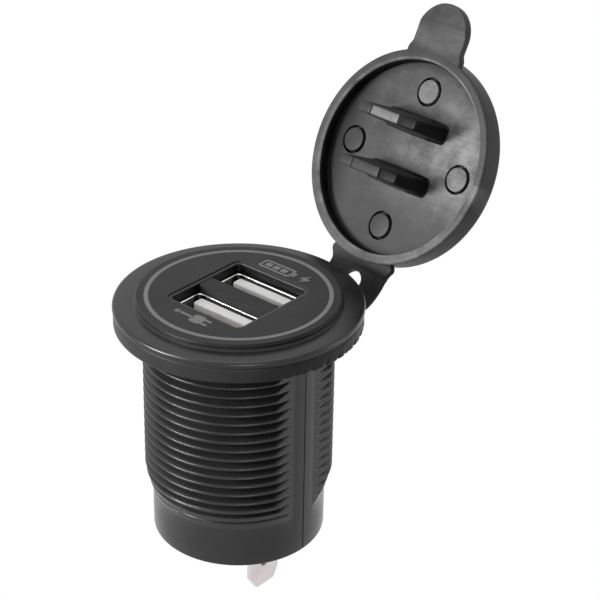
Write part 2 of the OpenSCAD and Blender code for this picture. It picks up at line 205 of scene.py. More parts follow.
@dataclass(frozen=True)
class Patch:
    """A grid of points in millimetres, rows by columns, how it closes, and its painted light and
    shade.

    The painted light and shade is one number for the patch, one for each row or one for each point.
    Above 0 it is a painted sheen, and below 0 painted shade that turns the surface black.
    """

    points: np.ndarray
    wrap_rows: bool = False
    wrap_cols: bool = False
    cap_first: bool = False
    cap_last: bool = False
    painted_light_shade: float | np.ndarray = 0.0

    def faces(self, start: int) -> tuple[np.ndarray, list[list[int]], list[list[float]]]:
        """Works out the grid's vertices and faces.

        Args:
            start: number of vertices that come before this patch.

        Returns:
            The grid's vertices, the faces, and the centre points of the ends that are closed.
        """
        rows, cols = self.points.shape[:2]
        index = np.arange(rows * cols).reshape(rows, cols)
        if self.wrap_rows:
            index = np.vstack([index, index[:1]])
        if self.wrap_cols:
            index = np.hstack([index, index[:, :1]])
        corners = [index[:-1, :-1], index[1:, :-1], index[1:, 1:], index[:-1, 1:]]
        faces = (np.stack(corners, -1).reshape(-1, 4) + start).tolist()
        extra: list[list[float]] = []
        for wanted, row in ((self.cap_first, 0), (self.cap_last, rows - 1)):
            if wanted:
                ring = index[row]
                centre = start + rows * cols + len(extra)
                extra.append(self.points[row].mean(0).tolist())
                fan = [ring[:-1] + start, ring[1:] + start, np.full(len(ring) - 1, centre)]
                faces += np.stack(fan, -1).tolist()
        return self.points.reshape(-1, 3), faces, extra

    def painted_light_per_point(self, count: int) -> np.ndarray:
        """The painted light and shade of each of the patch's points, and of its added centre points.
        """
        rows, cols = self.points.shape[:2]
        painted_light_shade = np.asarray(self.painted_light_shade, float)
        each = np.broadcast_to(painted_light_shade[:, None] if painted_light_shade.ndim == 1 else painted_light_shade, (rows, cols)).ravel()
        return np.concatenate([each, np.full(count - len(each), each[-1])])


@dataclass(frozen=True)
class Sheet:
    """A flat disc with round holes, in millimetres, cut into triangles."""

    points: np.ndarray
    triangles: np.ndarray
    painted_light_shade: np.ndarray

    def faces(self, start: int) -> tuple[np.ndarray, list[list[int]], list[list[float]]]:
        """Gives the sheet's vertices and faces in the form that Patch gives them."""
        return self.points, (self.triangles + start).tolist(), []

    def painted_light_per_point(self, count: int) -> np.ndarray:
        """The painted light and shade of each of the sheet's points."""
        return self.painted_light_shade[:count]


def sheet_with_holes(
    rim: np.ndarray,
    holes: list[np.ndarray],
    z: float,
    painted_light_shade: Callable[[np.ndarray], np.ndarray],
) -> Sheet:
    """Fills the space between an outline and round holes with triangles.

    Args:
        rim: the outline's points.
        holes: the holes' points.
        z: the sheet's height.
        painted_light_shade: gives the painted light and shade at each point.

    Returns:
        The sheet, whose rim and holes keep exactly the given points.
    """
    loops = [rim] + holes
    # loose points on a grid carry the painted light and shade between the loops
    reach = np.abs(rim).max()
    axis = np.arange(-reach, reach, LOOSE_STEP)
    loose = np.stack(np.meshgrid(axis, axis), -1).reshape(-1, 2)
    inside = np.linalg.norm(loose, axis=1) < reach - RIM_MARGIN
    for hole in holes:
        centre = hole.mean(0)
        edge = np.linalg.norm(hole[0] - centre) + HOLE_MARGIN
        inside &= np.linalg.norm(loose - centre, axis=1) > edge
    flat = np.vstack(loops + [loose[inside]])
    edges, first = [], 0
    for loop in loops:
        n = len(loop)
        edges += [(first + i, first + (i + 1) % n) for i in range(n)]
        first += n
    found = [Vector(p) for p in flat.tolist()]
    points, _, triangles, *_ = delaunay_2d_cdt(found, edges, [], 1, 1e-6)
    grid = np.array([tuple(p) for p in points])
    faces = np.array([list(f) for f in triangles])
    middle = grid[faces].mean(1)
    keep = np.ones(len(faces), bool)
    for hole in holes:
        centre = hole.mean(0)
        keep &= np.linalg.norm(middle - centre, axis=1) > np.linalg.norm(hole[0] - centre) * 0.98
    return Sheet(np.column_stack([grid, np.full(len(grid), z)]), faces[keep], painted_light_shade(grid))


def make_piece(name: str, patches: list[Patch | Sheet], sharp: float = 32.0) -> bpy.types.Object:
    """Joins patches into one object with outward faces and smooth shading up to an angle.

    Args:
        name: the piece's name.
        patches: its surfaces, in millimetres.
        sharp: edges above this many degrees stay sharp.

    Returns:
        The new object, at the origin.
    """
    points: list[np.ndarray] = []
    painted_light_shade: list[np.ndarray] = []
    faces: list[list[int]] = []
    count = 0
    for patch in patches:
        grid, found, extra = patch.faces(count)
        block = np.vstack([grid, np.array(extra).reshape(-1, 3)])
        points.append(block)
        painted_light_shade.append(patch.painted_light_per_point(len(block)))
        faces += found
        count += len(block)
    mesh = bpy.data.meshes.new(name)
    mesh.from_pydata((np.vstack(points) * MM).tolist(), [], faces)
    # the painted light and shade goes on the mesh as a point attribute
    painted_light_attribute = mesh.attributes.new("painted_light_shade", "FLOAT", "POINT")
    painted_light_attribute.data.foreach_set("value", np.concatenate(painted_light_shade).astype(np.float32))
    work = bmesh.new()
    work.from_mesh(mesh)
    bmesh.ops.remove_doubles(work, verts=work.verts, dist=2e-6)
    bmesh.ops.dissolve_degenerate(work, edges=work.edges, dist=1e-6)
    bmesh.ops.recalc_face_normals(work, faces=work.faces)
    work.to_mesh(mesh)
    work.free()
    mesh.shade_smooth()
    mesh.set_sharp_from_angle(angle=math.radians(sharp))
    return link_object(name, mesh)


def softened_copy(name: str, node: bpy.types.Object, width: float) -> bpy.types.Object:
    """Copies a rigid CAD node's mesh, merges it and rounds its edges a little.

    Args:
        name: the new piece's name.
        node: the CAD node.
        width: the bevel's width in millimetres.

    Returns:
        The new object, at the origin.
    """
    mesh = node.data.copy()
    mesh.name = name
    work = bmesh.new()
    work.from_mesh(mesh)
    bmesh.ops.remove_doubles(work, verts=work.verts, dist=3e-6)
    bmesh.ops.dissolve_limit(
        work, angle_limit=math.radians(1.0), verts=work.verts, edges=work.edges
    )
    work.to_mesh(mesh)
    work.free()
    mesh.materials.clear()
    mesh.shade_smooth()
    mesh.set_sharp_from_angle(angle=math.radians(30))
    piece = link_object(name, mesh)
    bevel = piece.modifiers.new("edge", "BEVEL")
    bevel.width = width * MM
    bevel.segments = 2
    bevel.limit_method = "ANGLE"
    bevel.angle_limit = math.radians(35)
    bevel.use_clamp_overlap = True
    bevel.harden_normals = True
    return piece


# Curves and surfaces


def smooth(t: np.ndarray) -> np.ndarray:
    """A step from 0 to 1 with level ends: 3t² − 2t³."""
    t = np.clip(t, 0.0, 1.0)
    return t * t * (3 - 2 * t)


def rounded_path(
    points: list[tuple[float, float, float]], closed: bool, steps: int = 5
) -> np.ndarray:
    """Rounds the corners of a profile: each corner becomes an arc that touches both its sides.

    Args:
        points: corners as (r, z, radius of the rounding).
        closed: whether the last corner joins the first.
        steps: points on each arc.

    Returns:
        The profile's points, one row each.
    """
    corners = np.array([p[:2] for p in points], float)
    radii = [p[2] for p in points]
    out: list[np.ndarray] = []
    count = len(corners)
    for i, (corner, radius) in enumerate(zip(corners, radii)):
        if radius <= 0 or (not closed and i in (0, count - 1)):
            out.append(corner[None])
            continue
        before, after = corners[i - 1] - corner, corners[(i + 1) % count] - corner
        a, b = before / np.linalg.norm(before), after / np.linalg.norm(after)
        half = math.acos(float(np.clip(a @ b, -1, 1))) / 2
        room = 0.49 * min(np.linalg.norm(before), np.linalg.norm(after))
        reach = min(radius / math.tan(half), room)
        start, end = corner + a * reach, corner + b * reach
        centre = corner + (a + b) / np.linalg.norm(a + b) * reach / math.cos(half)
        t = np.linspace(0, 1, steps)[:, None]
        u, v = start - centre, end - centre
        angle = math.acos(float(np.clip(u @ v / (np.linalg.norm(u) * np.linalg.norm(v)), -1, 1)))
        arc = (np.sin((1 - t) * angle) * u + np.sin(t * angle) * v) / math.sin(angle)
        out.append(centre + arc)
    return np.vstack(out)


def divided(path: np.ndarray, step: float, closed: bool = False) -> np.ndarray:
    """Adds points to a path's long sides, so that no side is longer than a step."""
    ring = np.vstack([path, path[:1]]) if closed else path
    out: list[np.ndarray] = []
    for a, b in zip(ring[:-1], ring[1:]):
        n = max(1, int(math.ceil(float(np.linalg.norm(b - a)) / step)))
        out.append(a + (b - a) * (np.arange(n) / n)[:, None])
    if not closed:
        out.append(path[-1:])
    return np.vstack(out)


def turned(profile: np.ndarray, angles: np.ndarray) -> np.ndarray:
    """Turns a profile of (r, z) about Z: x is r·cos, y is r·sin of each angle."""
    r, z = profile[:, :1], profile[:, 1:2]
    return np.stack([r * np.cos(angles), r * np.sin(angles), z + 0 * angles], -1)


def unit_circle(count: int) -> np.ndarray:
    """Points (x, y) on a circle of radius 1, evenly spaced from +X."""
    angle = np.linspace(0, 2 * np.pi, count, endpoint=False)
    return np.stack([np.cos(angle), np.sin(angle)], -1)


def at_height(flat: np.ndarray, z: float) -> np.ndarray:
    """Points (x, y, z) of an outline (x, y) that lies at one height."""
    return np.concatenate([flat, np.full((len(flat), 1), z)], -1)


def along_y(section: np.ndarray, y: np.ndarray) -> np.ndarray:
    """Points of upright cross sections (x, z) that stand at places along Y."""
    across = np.broadcast_to(y[:, None], section.shape[:2])
    return np.stack([section[..., 0], across, section[..., 1]], -1)


def closed_bar(points: np.ndarray, painted_light_shade: float | np.ndarray = 0.0) -> Patch:
    """A bar of cross sections, closed around and at both ends."""
    return Patch(points, wrap_cols=True, cap_first=True, cap_last=True, painted_light_shade=painted_light_shade)


def round_rect(width: float, height: float, radius: float, count: int) -> np.ndarray:
    """A rectangle with round corners, its points evenly spaced in angle around its middle.

    Args:
        width: length along X.
        height: length along Y.
        radius: corner radius.
        count: number of points.

    Returns:
        The closed curve's points, anticlockwise from +X.
    """
    corner = np.linspace(0, np.pi / 2, 24)
    arcs = []
    for sx, sy, q in CORNERS:
        turn = corner + q * np.pi / 2
        x = sx * (width / 2 - radius) + radius * np.cos(turn)
        y = sy * (height / 2 - radius) + radius * np.sin(turn)
        arcs.append(np.stack([x, y], -1))
    dense = divided(np.vstack(arcs), 0.05, closed=True)
    seen = np.unwrap(np.arctan2(dense[:, 1], dense[:, 0]))
    order = np.argsort(seen)
    seen, dense = seen[order], dense[order]
    wanted = np.linspace(0, 2 * np.pi, count, endpoint=False)
    wanted = np.where(wanted < seen[0], wanted + 2 * np.pi, wanted)
    wanted = np.where(wanted > seen[-1], wanted - 2 * np.pi, wanted)
    full = np.concatenate([seen - 2 * np.pi, seen, seen + 2 * np.pi])
    both = np.vstack([dense, dense, dense])
    return np.stack([np.interp(wanted, full, both[:, k]) for k in (0, 1)], -1)


def box_sections(
    half_w: np.ndarray, low: np.ndarray, high: np.ndarray, radius: np.ndarray, steps: int = 5
) -> np.ndarray:
    """Cross sections that are rectangles with round corners, one for each row.

    Args:
        half_w: half widths.
        low: lower edges.
        high: upper edges.
        radius: corner radii, cut to what fits.
        steps: points on each corner.

    Returns:
        An array of rows by points by (across, up).
    """
    half_h, mid = (high - low) / 2, (high + low) / 2
    c = np.minimum(np.minimum(radius, half_w * 0.98), half_h * 0.98)[:, None]
    angle = np.linspace(0, np.pi / 2, steps)
    across, up = [], []
    for sx, sy, q in CORNERS:
        across.append(sx * (half_w[:, None] - c) + c * np.cos(angle + q * np.pi / 2))
        up.append(mid[:, None] + sy * (half_h[:, None] - c) + c * np.sin(angle + q * np.pi / 2))
    return np.stack([np.hstack(across), np.hstack(up)], -1)


def eased_ends(position: np.ndarray, radius: float) -> np.ndarray:
    """How far a rounded end draws in: R − √(R² − d²), with d from where the round starts."""
    low, high = position.min(), position.max()
    d = np.maximum(0, radius - np.minimum(position - low, high - position))
    return radius - np.sqrt(np.maximum(0, radius * radius - d * d))


def end_spaced(
    low: float, high: float, radius: float, extra: list[float], steps: int = 5
) -> np.ndarray:
    """Positions that are close together at two rounded ends, with extra places between."""
    arc = radius * (1 - np.cos(np.linspace(0.12, np.pi / 2, steps)))
    middle = np.linspace(low + radius, high - radius, 9)
    places = np.concatenate([low + arc, middle, high - arc, np.array(extra)])
    return np.unique(np.round(places, 5))


def rounded_bar(
    lengths: np.ndarray, half_w: np.ndarray, low: np.ndarray, high: np.ndarray, radius: float
) -> Patch:
    """A bar along X whose cross section and rounded ends follow the given rows.

    Args:
        lengths: positions along X.
        half_w: half widths along Y at each position.
        low: lower faces.
        high: upper faces.
        radius: rounding of all edges.

    Returns:
        The closed surface.
    """
    ease = eased_ends(lengths, radius)
    radii = np.full(len(lengths), radius)
    section = box_sections(half_w - ease, low + ease, high - ease, radii)
    along = np.broadcast_to(lengths[:, None, None], section.shape[:2] + (1,))
    return closed_bar(np.concatenate([along, section], -1))


def about(direction: tuple[float, float, float], degrees: float) -> np.ndarray:
    """The rotation matrix about a direction, by Rodrigues' formula."""
    k = np.array(direction) / np.linalg.norm(direction)
    cross = np.array([[0, -k[2], k[1]], [k[2], 0, -k[0]], [-k[1], k[0], 0]])
    a = math.radians(degrees)
    return np.eye(3) + math.sin(a) * cross + (1 - math.cos(a)) * cross @ cross


# Finishes


class Tint(Enum):
    """Colours of the finishes, as sRGB hex values."""

    ABS_BLACK = "#1d1d1e"
    ABS_FACE = "#1d1d1e"
    FILM = "#2b2b2c"
    BLOCK = "#29292a"
    PRINT = "#727272"
    RUBBER = "#373738"
    PAINTED_SHEEN = "#868687"
    STEEL = "#d8d8d6"
    NYLON = "#f8f7f5"
    GOLD = "#d8b25a"
    TIN = "#d4cccd"
    MASK_GREEN = "#1c5a35"
    FERRITE = "#3c3d40"
    CAN = "#7c8088"
    EPOXY = "#1b1b1c"
    LENS = "#f1ecc8"
    PVC_RED = "#a01c1c"
    PVC_BLACK = "#1d1d1d"


@dataclass(frozen=True)
class Finish:
    """A material: what the real one is, and how its surface was made.

    The colour wanders between two shades over a patch size, the roughness wanders with it, and a
    fine grain lies in the bump. A drawn grain runs along Z when its stretch is above 1. Streaks are
    fine flow lines along X that lie over the shades. A painted light tint is the colour of the
    painted sheen that the painted light attribute asks for above 0; below 0 the attribute paints
    shade.
    """

    name: str
    tint: Tint
    shade: float = 0.12
    patch_mm: float = 6.0
    roughness: float = 0.5
    spread: float = 0.08
    grain_mm: float = 0.25
    grain_depth_mm: float = 0.004
    stretch: float = 1.0
    metallic: float = 0.0
    ior: float = 1.5
    coat: float = 0.0
    specular: float = 0.5
    streak: float = 0.0
    painted_light_shade: Tint | None = None

    def build(self) -> bpy.types.Material:
        """Makes the material's node tree.

        Returns:
            The material.
        """
        material = bpy.data.materials.new(self.name)
        tree = blank_tree(material)
        place = add(tree, "ShaderNodeTexCoord").outputs["Object"]
        scale = {"Scale": (1.0, 1.0, 1.0 / self.stretch)}
        stretched = add(tree, "ShaderNodeMapping", scale, {"Vector": place})
        patches = noise(tree, self.patch_mm, 4.0, 0.6, place)
        grain = noise(tree, self.grain_mm, 2.0, 0.55, stretched.outputs["Vector"])
        share = self.light_share(tree, place, patches)
        colour = self.shades(tree, share)
        if self.painted_light_shade:
            colour = self.with_painted_light(tree, colour, share)
        limits = (max(0.02, self.roughness - self.spread), min(1.0, self.roughness + self.spread))
        depth = {"Strength": 0.6, "Distance": self.grain_depth_mm * MM}
        bump = add(tree, "ShaderNodeBump", depth, {"Height": grain})
        shader = add(
            tree,
            "ShaderNodeBsdfPrincipled",
            {
                "Metallic": self.metallic,
                "Coat Weight": self.coat,
                "Coat Roughness": 0.15,
                "Specular IOR Level": self.specular,
            },
            {
                "Base Color": colour,
                "Roughness": ranged(tree, patches, (0.3, 0.7), limits),
                "Normal": bump.outputs["Normal"],
            },
        )
        if self.metallic == 0:
            shader.inputs["IOR"].default_value = self.ior
        add(tree, "ShaderNodeOutputMaterial", {}, {"Surface": shader.outputs["BSDF"]})
        return material

    def light_share(
        self,
        tree: bpy.types.NodeTree,
        place: bpy.types.NodeSocket,
        patches: bpy.types.NodeSocket,
    ) -> bpy.types.NodeSocket:
        """Works out how much of the lighter shade each point has: patches, with streaks over them.

        Args:
            tree: the material's node tree.
            place: the object coordinates.
            patches: the noise of the patches.

        Returns:
            The share, from 0 to 1.
        """
        share = ranged(tree, patches, (0.32, 0.68))
        if not self.streak:
            return share
        drawn = add(tree, "ShaderNodeMapping", {"Scale": (0.08, 1.0, 1.0)}, {"Vector": place})
        lines = noise(tree, 0.45, 3.0, 0.6, drawn.outputs["Vector"])
        offset = ranged(tree, lines, (0.35, 0.65), (-self.streak, self.streak))
        return joined(tree, "ADD", share, offset, clamp=True)

    def shades(
        self, tree: bpy.types.NodeTree, share: bpy.types.NodeSocket
    ) -> bpy.types.NodeSocket:
        """Mixes the darker and the lighter shade of the tint."""
        base = linear(self.tint.value)[:3]
        dark_tone_and_shade = tuple(c * (1 - self.shade) for c in base) + (1.0,)
        light = tuple(min(1.0, c * (1 + self.shade)) for c in base) + (1.0,)
        mix = {"data_type": "RGBA", 6: dark_tone_and_shade, 7: light}
        return add(tree, "ShaderNodeMix", mix, {0: share}).outputs[2]

    def with_painted_light(
        self,
        tree: bpy.types.NodeTree,
        colour: bpy.types.NodeSocket,
        share: bpy.types.NodeSocket,
    ) -> bpy.types.NodeSocket:
        """Lays the painted light attribute over the colour: a cloudy painted sheen above 0, painted
        shade below it.

        Args:
            tree: the material's node tree.
            colour: the colour without painted light.
            share: the share of the lighter shade, which clouds the painted sheen.

        Returns:
            The colour.
        """
        painted_light_shade = add(tree, "ShaderNodeAttribute", {"attribute_name": "painted_light_shade"}).outputs["Fac"]
        # painted shade: below 0 the colour is darkened down to about an eighth
        painted_shade_factor = ranged(tree, painted_light_shade, (-1.0, 0.0), (0.12, 1.0))
        grey = add(tree, "ShaderNodeCombineXYZ", {}, {i: painted_shade_factor for i in range(3)}).outputs[0]
        multiply = {"data_type": "RGBA", "blend_type": "MULTIPLY", 0: 1.0}
        dark_tone_and_shade = add(tree, "ShaderNodeMix", multiply, {6: colour, 7: grey}).outputs[2]
        clouds = ranged(tree, share, (0.0, 1.0), (0.2, 0.9))
        # cover: how much painted sheen lies at each point, clouded by the shades
        cover = joined(tree, "MULTIPLY", painted_light_shade, clouds, clamp=True)
        painted_sheen = {"data_type": "RGBA", 7: linear(self.painted_light_shade.value)}
        return add(tree, "ShaderNodeMix", painted_sheen, {0: cover, 6: dark_tone_and_shade}).outputs[2]


# Satin ABS as it leaves a lightly etched mould: soft highlights, almost black in shade.
HOUSING = Finish(
    "moulded_abs_black",
    Tint.ABS_BLACK,
    roughness=0.27,
    spread=0.04,
    grain_mm=0.3,
    grain_depth_mm=0.003,
    specular=0.36,
)
FACE = Finish(
    "moulded_abs_face",
    Tint.ABS_FACE,
    roughness=0.34,
    grain_mm=0.3,
    grain_depth_mm=0.003,
    specular=0.25,
    painted_light_shade=Tint.PAINTED_SHEEN,
)
# Printed polycarbonate film: smooth and a shade paler than the frame around it.
FILM = Finish(
    "printed_polycarbonate_film",
    Tint.FILM,
    shade=0.05,
    roughness=0.55,
    grain_mm=0.2,
    grain_depth_mm=0.002,
    specular=0.15,
)
INK = Finish(
    "silk_screen_ink",
    Tint.PRINT,
    shade=0.06,
    roughness=0.6,
    grain_mm=0.15,
    grain_depth_mm=0.002,
    specular=0.2,
)
BLOCK = Finish("moulded_abs_block", Tint.BLOCK, roughness=0.5, specular=0.1, painted_light_shade=Tint.PAINTED_SHEEN)
# Soft thermoplastic rubber: matt, with cloudy flow marks.
RUBBER = Finish(
    "moulded_soft_rubber",
    Tint.RUBBER,
    shade=0.14,
    patch_mm=3.8,
    roughness=0.42,
    spread=0.06,
    grain_mm=0.22,
    grain_depth_mm=0.008,
    specular=0.10,
    streak=0.12,
    painted_light_shade=Tint.PAINTED_SHEEN,
)
# Metals: drawn along Z, so that their grain is long that way.
STEEL = Finish(
    "nickel_plated_steel",
    Tint.STEEL,
    shade=0.04,
    patch_mm=5.0,
    roughness=0.22,
    spread=0.06,
    grain_mm=0.3,
    grain_depth_mm=0.002,
    stretch=8.0,
    metallic=1.0,
    painted_light_shade=Tint.STEEL,
)
TIN = Finish(
    "tinned_brass_sheet",
    Tint.TIN,
    shade=0.06,
    patch_mm=3.0,
    roughness=0.34,
    grain_depth_mm=0.003,
    stretch=10.0,
    metallic=0.85,
)
GOLD = Finish("gold_flashed_contact", Tint.GOLD, 0.05, 3.0, 0.28, 0.05, 0.2, 0.001, 6.0, metallic=1.0)
NYLON = Finish("glass_filled_nylon_white", Tint.NYLON, 0.03, 4.0, 0.42, 0.05, 0.25, 0.002)
MASK = Finish("solder_mask_green", Tint.MASK_GREEN, 0.10, 4.0, 0.35, 0.05, 0.4, 0.004, coat=0.3)
FERRITE = Finish("sintered_ferrite", Tint.FERRITE, 0.15, 1.5, 0.7, 0.08, 0.2, 0.01)
CAN = Finish("sleeved_aluminium_can", Tint.CAN, 0.06, 4.0, 0.32, 0.05, 0.3, 0.002, metallic=0.6)
EPOXY = Finish("moulded_epoxy", Tint.EPOXY, 0.10, 2.0, 0.55, 0.06, 0.15, 0.003)
LENS = Finish("clear_led_resin", Tint.LENS, 0.03, 1.0, 0.15, 0.03, 0.2, 0.001)
WIRE_RED = Finish("pvc_sleeve_red", Tint.PVC_RED, 0.05, 3.0, 0.4, 0.05, 0.3, 0.003)
WIRE_BLACK = Finish("pvc_sleeve_black", Tint.PVC_BLACK, 0.05, 3.0, 0.4, 0.05, 0.3, 0.003)


class Workshop:
    """Keeps the frame, makes each material once, and puts finished pieces on their bodies."""

    def __init__(self, frame: dict) -> None:
        """Keeps the loaded frame."""
        self.frame = frame
        self.made: dict[str, bpy.types.Material] = {}

    def material(self, finish: Finish) -> bpy.types.Material:
        """Returns the material of a finish, made on first use."""
        if finish.name not in self.made:
            self.made[finish.name] = finish.build()
        return self.made[finish.name]

    def dress_node(self, node: str, finish: Finish) -> None:
        """Gives a kept CAD node its finish."""
        piece = self.frame["nodes"][node]
        piece.data.materials.clear()
        piece.data.materials.append(self.material(finish))
        log.info("dressed %s with %s", node, finish.name)

    def place(
        self,
        piece: bpy.types.Object,
        finish: Finish,
        slot: str,
        body: str,
        nodes: tuple[str, ...],
    ) -> None:
        """Dresses a piece, lets it ride on a body and stand for CAD nodes.

        Args:
            piece: the finished object.
            finish: its finish.
            slot: the record's material slot; not used.
            body: the body that it rides on, or nothing where it rides on none.
            nodes: CAD nodes that it stands for.
        """
        piece.data.materials.append(self.material(finish))
        if body:
            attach(piece, body)
        if nodes:
            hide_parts(*nodes)
        log.info("made %s: %d faces", piece.name, len(piece.data.polygons))


# The socket's fixed pieces


@dataclass
class BarrelHousing:
    """The threaded barrel and its flange, one moulding."""

    barrel_r: float = 13.12
    bore_r: float = 11.62
    thread_r: float = 14.27
    thread_depth: float = 1.09
    pitch: float = 1.52
    thread_low: float = -26.32
    slab_x: float = 12.934
    bottom: float = -34.85
    flange_low: float = 2.4
    flange_top: float = 3.4
    flange_r: float = 18.5
    lead_low: float = -28.25
    lead_len: float = 4.1
    flank: float = 0.66
    root_ease: float = 0.38
    fade_top: float = 1.7
    fade_len: float = 0.9
    line_depth: float = 0.17
    line_half_w: float = 0.03
    line_ease: float = 0.09

    def angles(self) -> np.ndarray:
        """Angles around the barrel, closer together at the mould lines and where crests fade."""
        even = np.arange(0, 360, 1.5)
        line = [0.0, 0.22, 0.36, 0.55, 1.0, 7.0, 9.7, 10.6]
        near = np.array(line + list(range(12, 22)) + [22.5, 24])
        ring = np.concatenate([even, near, -near, 180 + near, 180 - near]) % 360
        ring = np.unique(np.round(ring, 3))
        keep = np.concatenate([[True], np.diff(ring) > 0.12])
        return np.radians(ring[keep])

    def climb(self, angle: np.ndarray) -> np.ndarray:
        """How far the rows of points climb with the thread, as shares of the pitch.

        They follow the helix from the first plain strip round to it again, and drop back within it.
        """
        a = np.degrees(angle) % 360
        return np.interp(a, [0, 15, 345, 360], [0.4583, 15 / 360, 345 / 360, 0.4583]) - 0.5

    def thread(self, angle: np.ndarray, z: np.ndarray) -> np.ndarray:
        """Radius over the thread.

        The phase is height over pitch less the turn, so that a crest climbs one pitch in each turn.
        The crest is a narrow flat between two flanks that meet in an eased root. It is cut by the
        flats of the mould's parting strips and by the cone of the lead-in, and never goes inside
        the barrel.

        Args:
            angle: angles around the barrel.
            z: heights.

        Returns:
            Radii.
        """
        phase = (z - self.thread_low) / self.pitch - 0.25 - angle / (2 * np.pi)
        away = np.abs(phase - np.round(phase)) * self.pitch
        rise = np.clip((self.pitch / 2 - away) / self.flank, 0, 1)
        rise = (1 - self.root_ease) * rise + self.root_ease * smooth(rise)
        root = self.thread_r - self.thread_depth
        radius = root + self.thread_depth * rise
        radius = root + (radius - root) * smooth((self.fade_top - z) / self.fade_len)
        slab = self.slab_x / np.maximum(np.abs(np.cos(angle)), 1e-3)
        lead = np.clip((z - self.lead_low) / self.lead_len, 0, 1)
        lead = self.barrel_r + lead * (self.thread_r - self.barrel_r)
        return np.maximum(np.minimum(np.minimum(radius, slab), lead), self.barrel_r)

    def rows(self, angle: np.ndarray) -> np.ndarray:
        """Heights of the thread's rows of points, rows by angles.

        Each pitch has rows on the crest's edges and flanks. The rows are level at both ends of the
        thread, and climb with it between.
        """
        edges = np.array([0.06, 0.14, 0.24, 0.38, 0.52, 0.66])
        steps = np.concatenate([-edges[::-1], edges, [0.76]])
        first = self.thread_low + (0.25 + 0.5) * self.pitch
        crests = first + self.pitch * np.arange(-4, 20)
        level = (crests[:, None] + steps).ravel()
        level = level[(level > self.lead_low + 0.05) & (level < 1.68)]
        hold = smooth((level - self.lead_low) / 1.9) * smooth((1.75 - level) / 1.5)
        return level[:, None] + self.pitch * self.climb(angle)[None, :] * hold[:, None]

    def build(self) -> bpy.types.Object:
        """Makes the closed surface: up the outside, over the flange and down the bore."""
        angle = self.angles()
        foot = divided(
            rounded_path(
                [
                    (self.bore_r, self.bottom + 0.45, 0),
                    (self.bore_r + 0.35, self.bottom, 0.1),
                    (self.barrel_r, self.bottom, 0.22),
                    (self.barrel_r, self.lead_low, 0),
                ],
                False,
            ),
            2.5,
        )
        heights = self.rows(angle)
        head = divided(
            rounded_path(
                [
                    (self.barrel_r + 0.2, 1.75, 0),
                    (self.barrel_r + 0.2, self.flange_low, 0.1),
                    (self.flange_r, self.flange_low, 0.22),
                    (self.flange_r, self.flange_top, 0.5),
                    (14.6, self.flange_top, 0),
                    (self.bore_r, self.flange_top, 0.15),
                    (self.bore_r, self.bottom + 0.45, 0),
                ],
                False,
                8,
            )[:-1],
            3.0,
        )
        lower, upper = turned(foot, angle), turned(head, angle)
        radius = self.thread(angle[None, :], heights)
        middle = np.stack([radius * np.cos(angle), radius * np.sin(angle), heights], -1)
        grid = np.concatenate([lower, middle, upper])
        # the mould lines: a fine groove at both ends of X, on the outside only
        length = np.hypot(grid[..., 0], grid[..., 1])
        outside = length > self.bore_r + 0.6
        under = grid[..., 2] < self.flange_low - 0.1
        reach = np.abs(np.sin(angle)) * self.barrel_r
        depth = self.line_depth * (1 - smooth((reach - self.line_half_w) / self.line_ease))
        pull = np.where(outside & under, depth[None, :], 0.0)
        grid[..., :2] *= ((length - pull) / length)[..., None]
        patch = Patch(grid, wrap_rows=True, wrap_cols=True)
        return make_piece("barrel_housing", [patch], sharp=40)


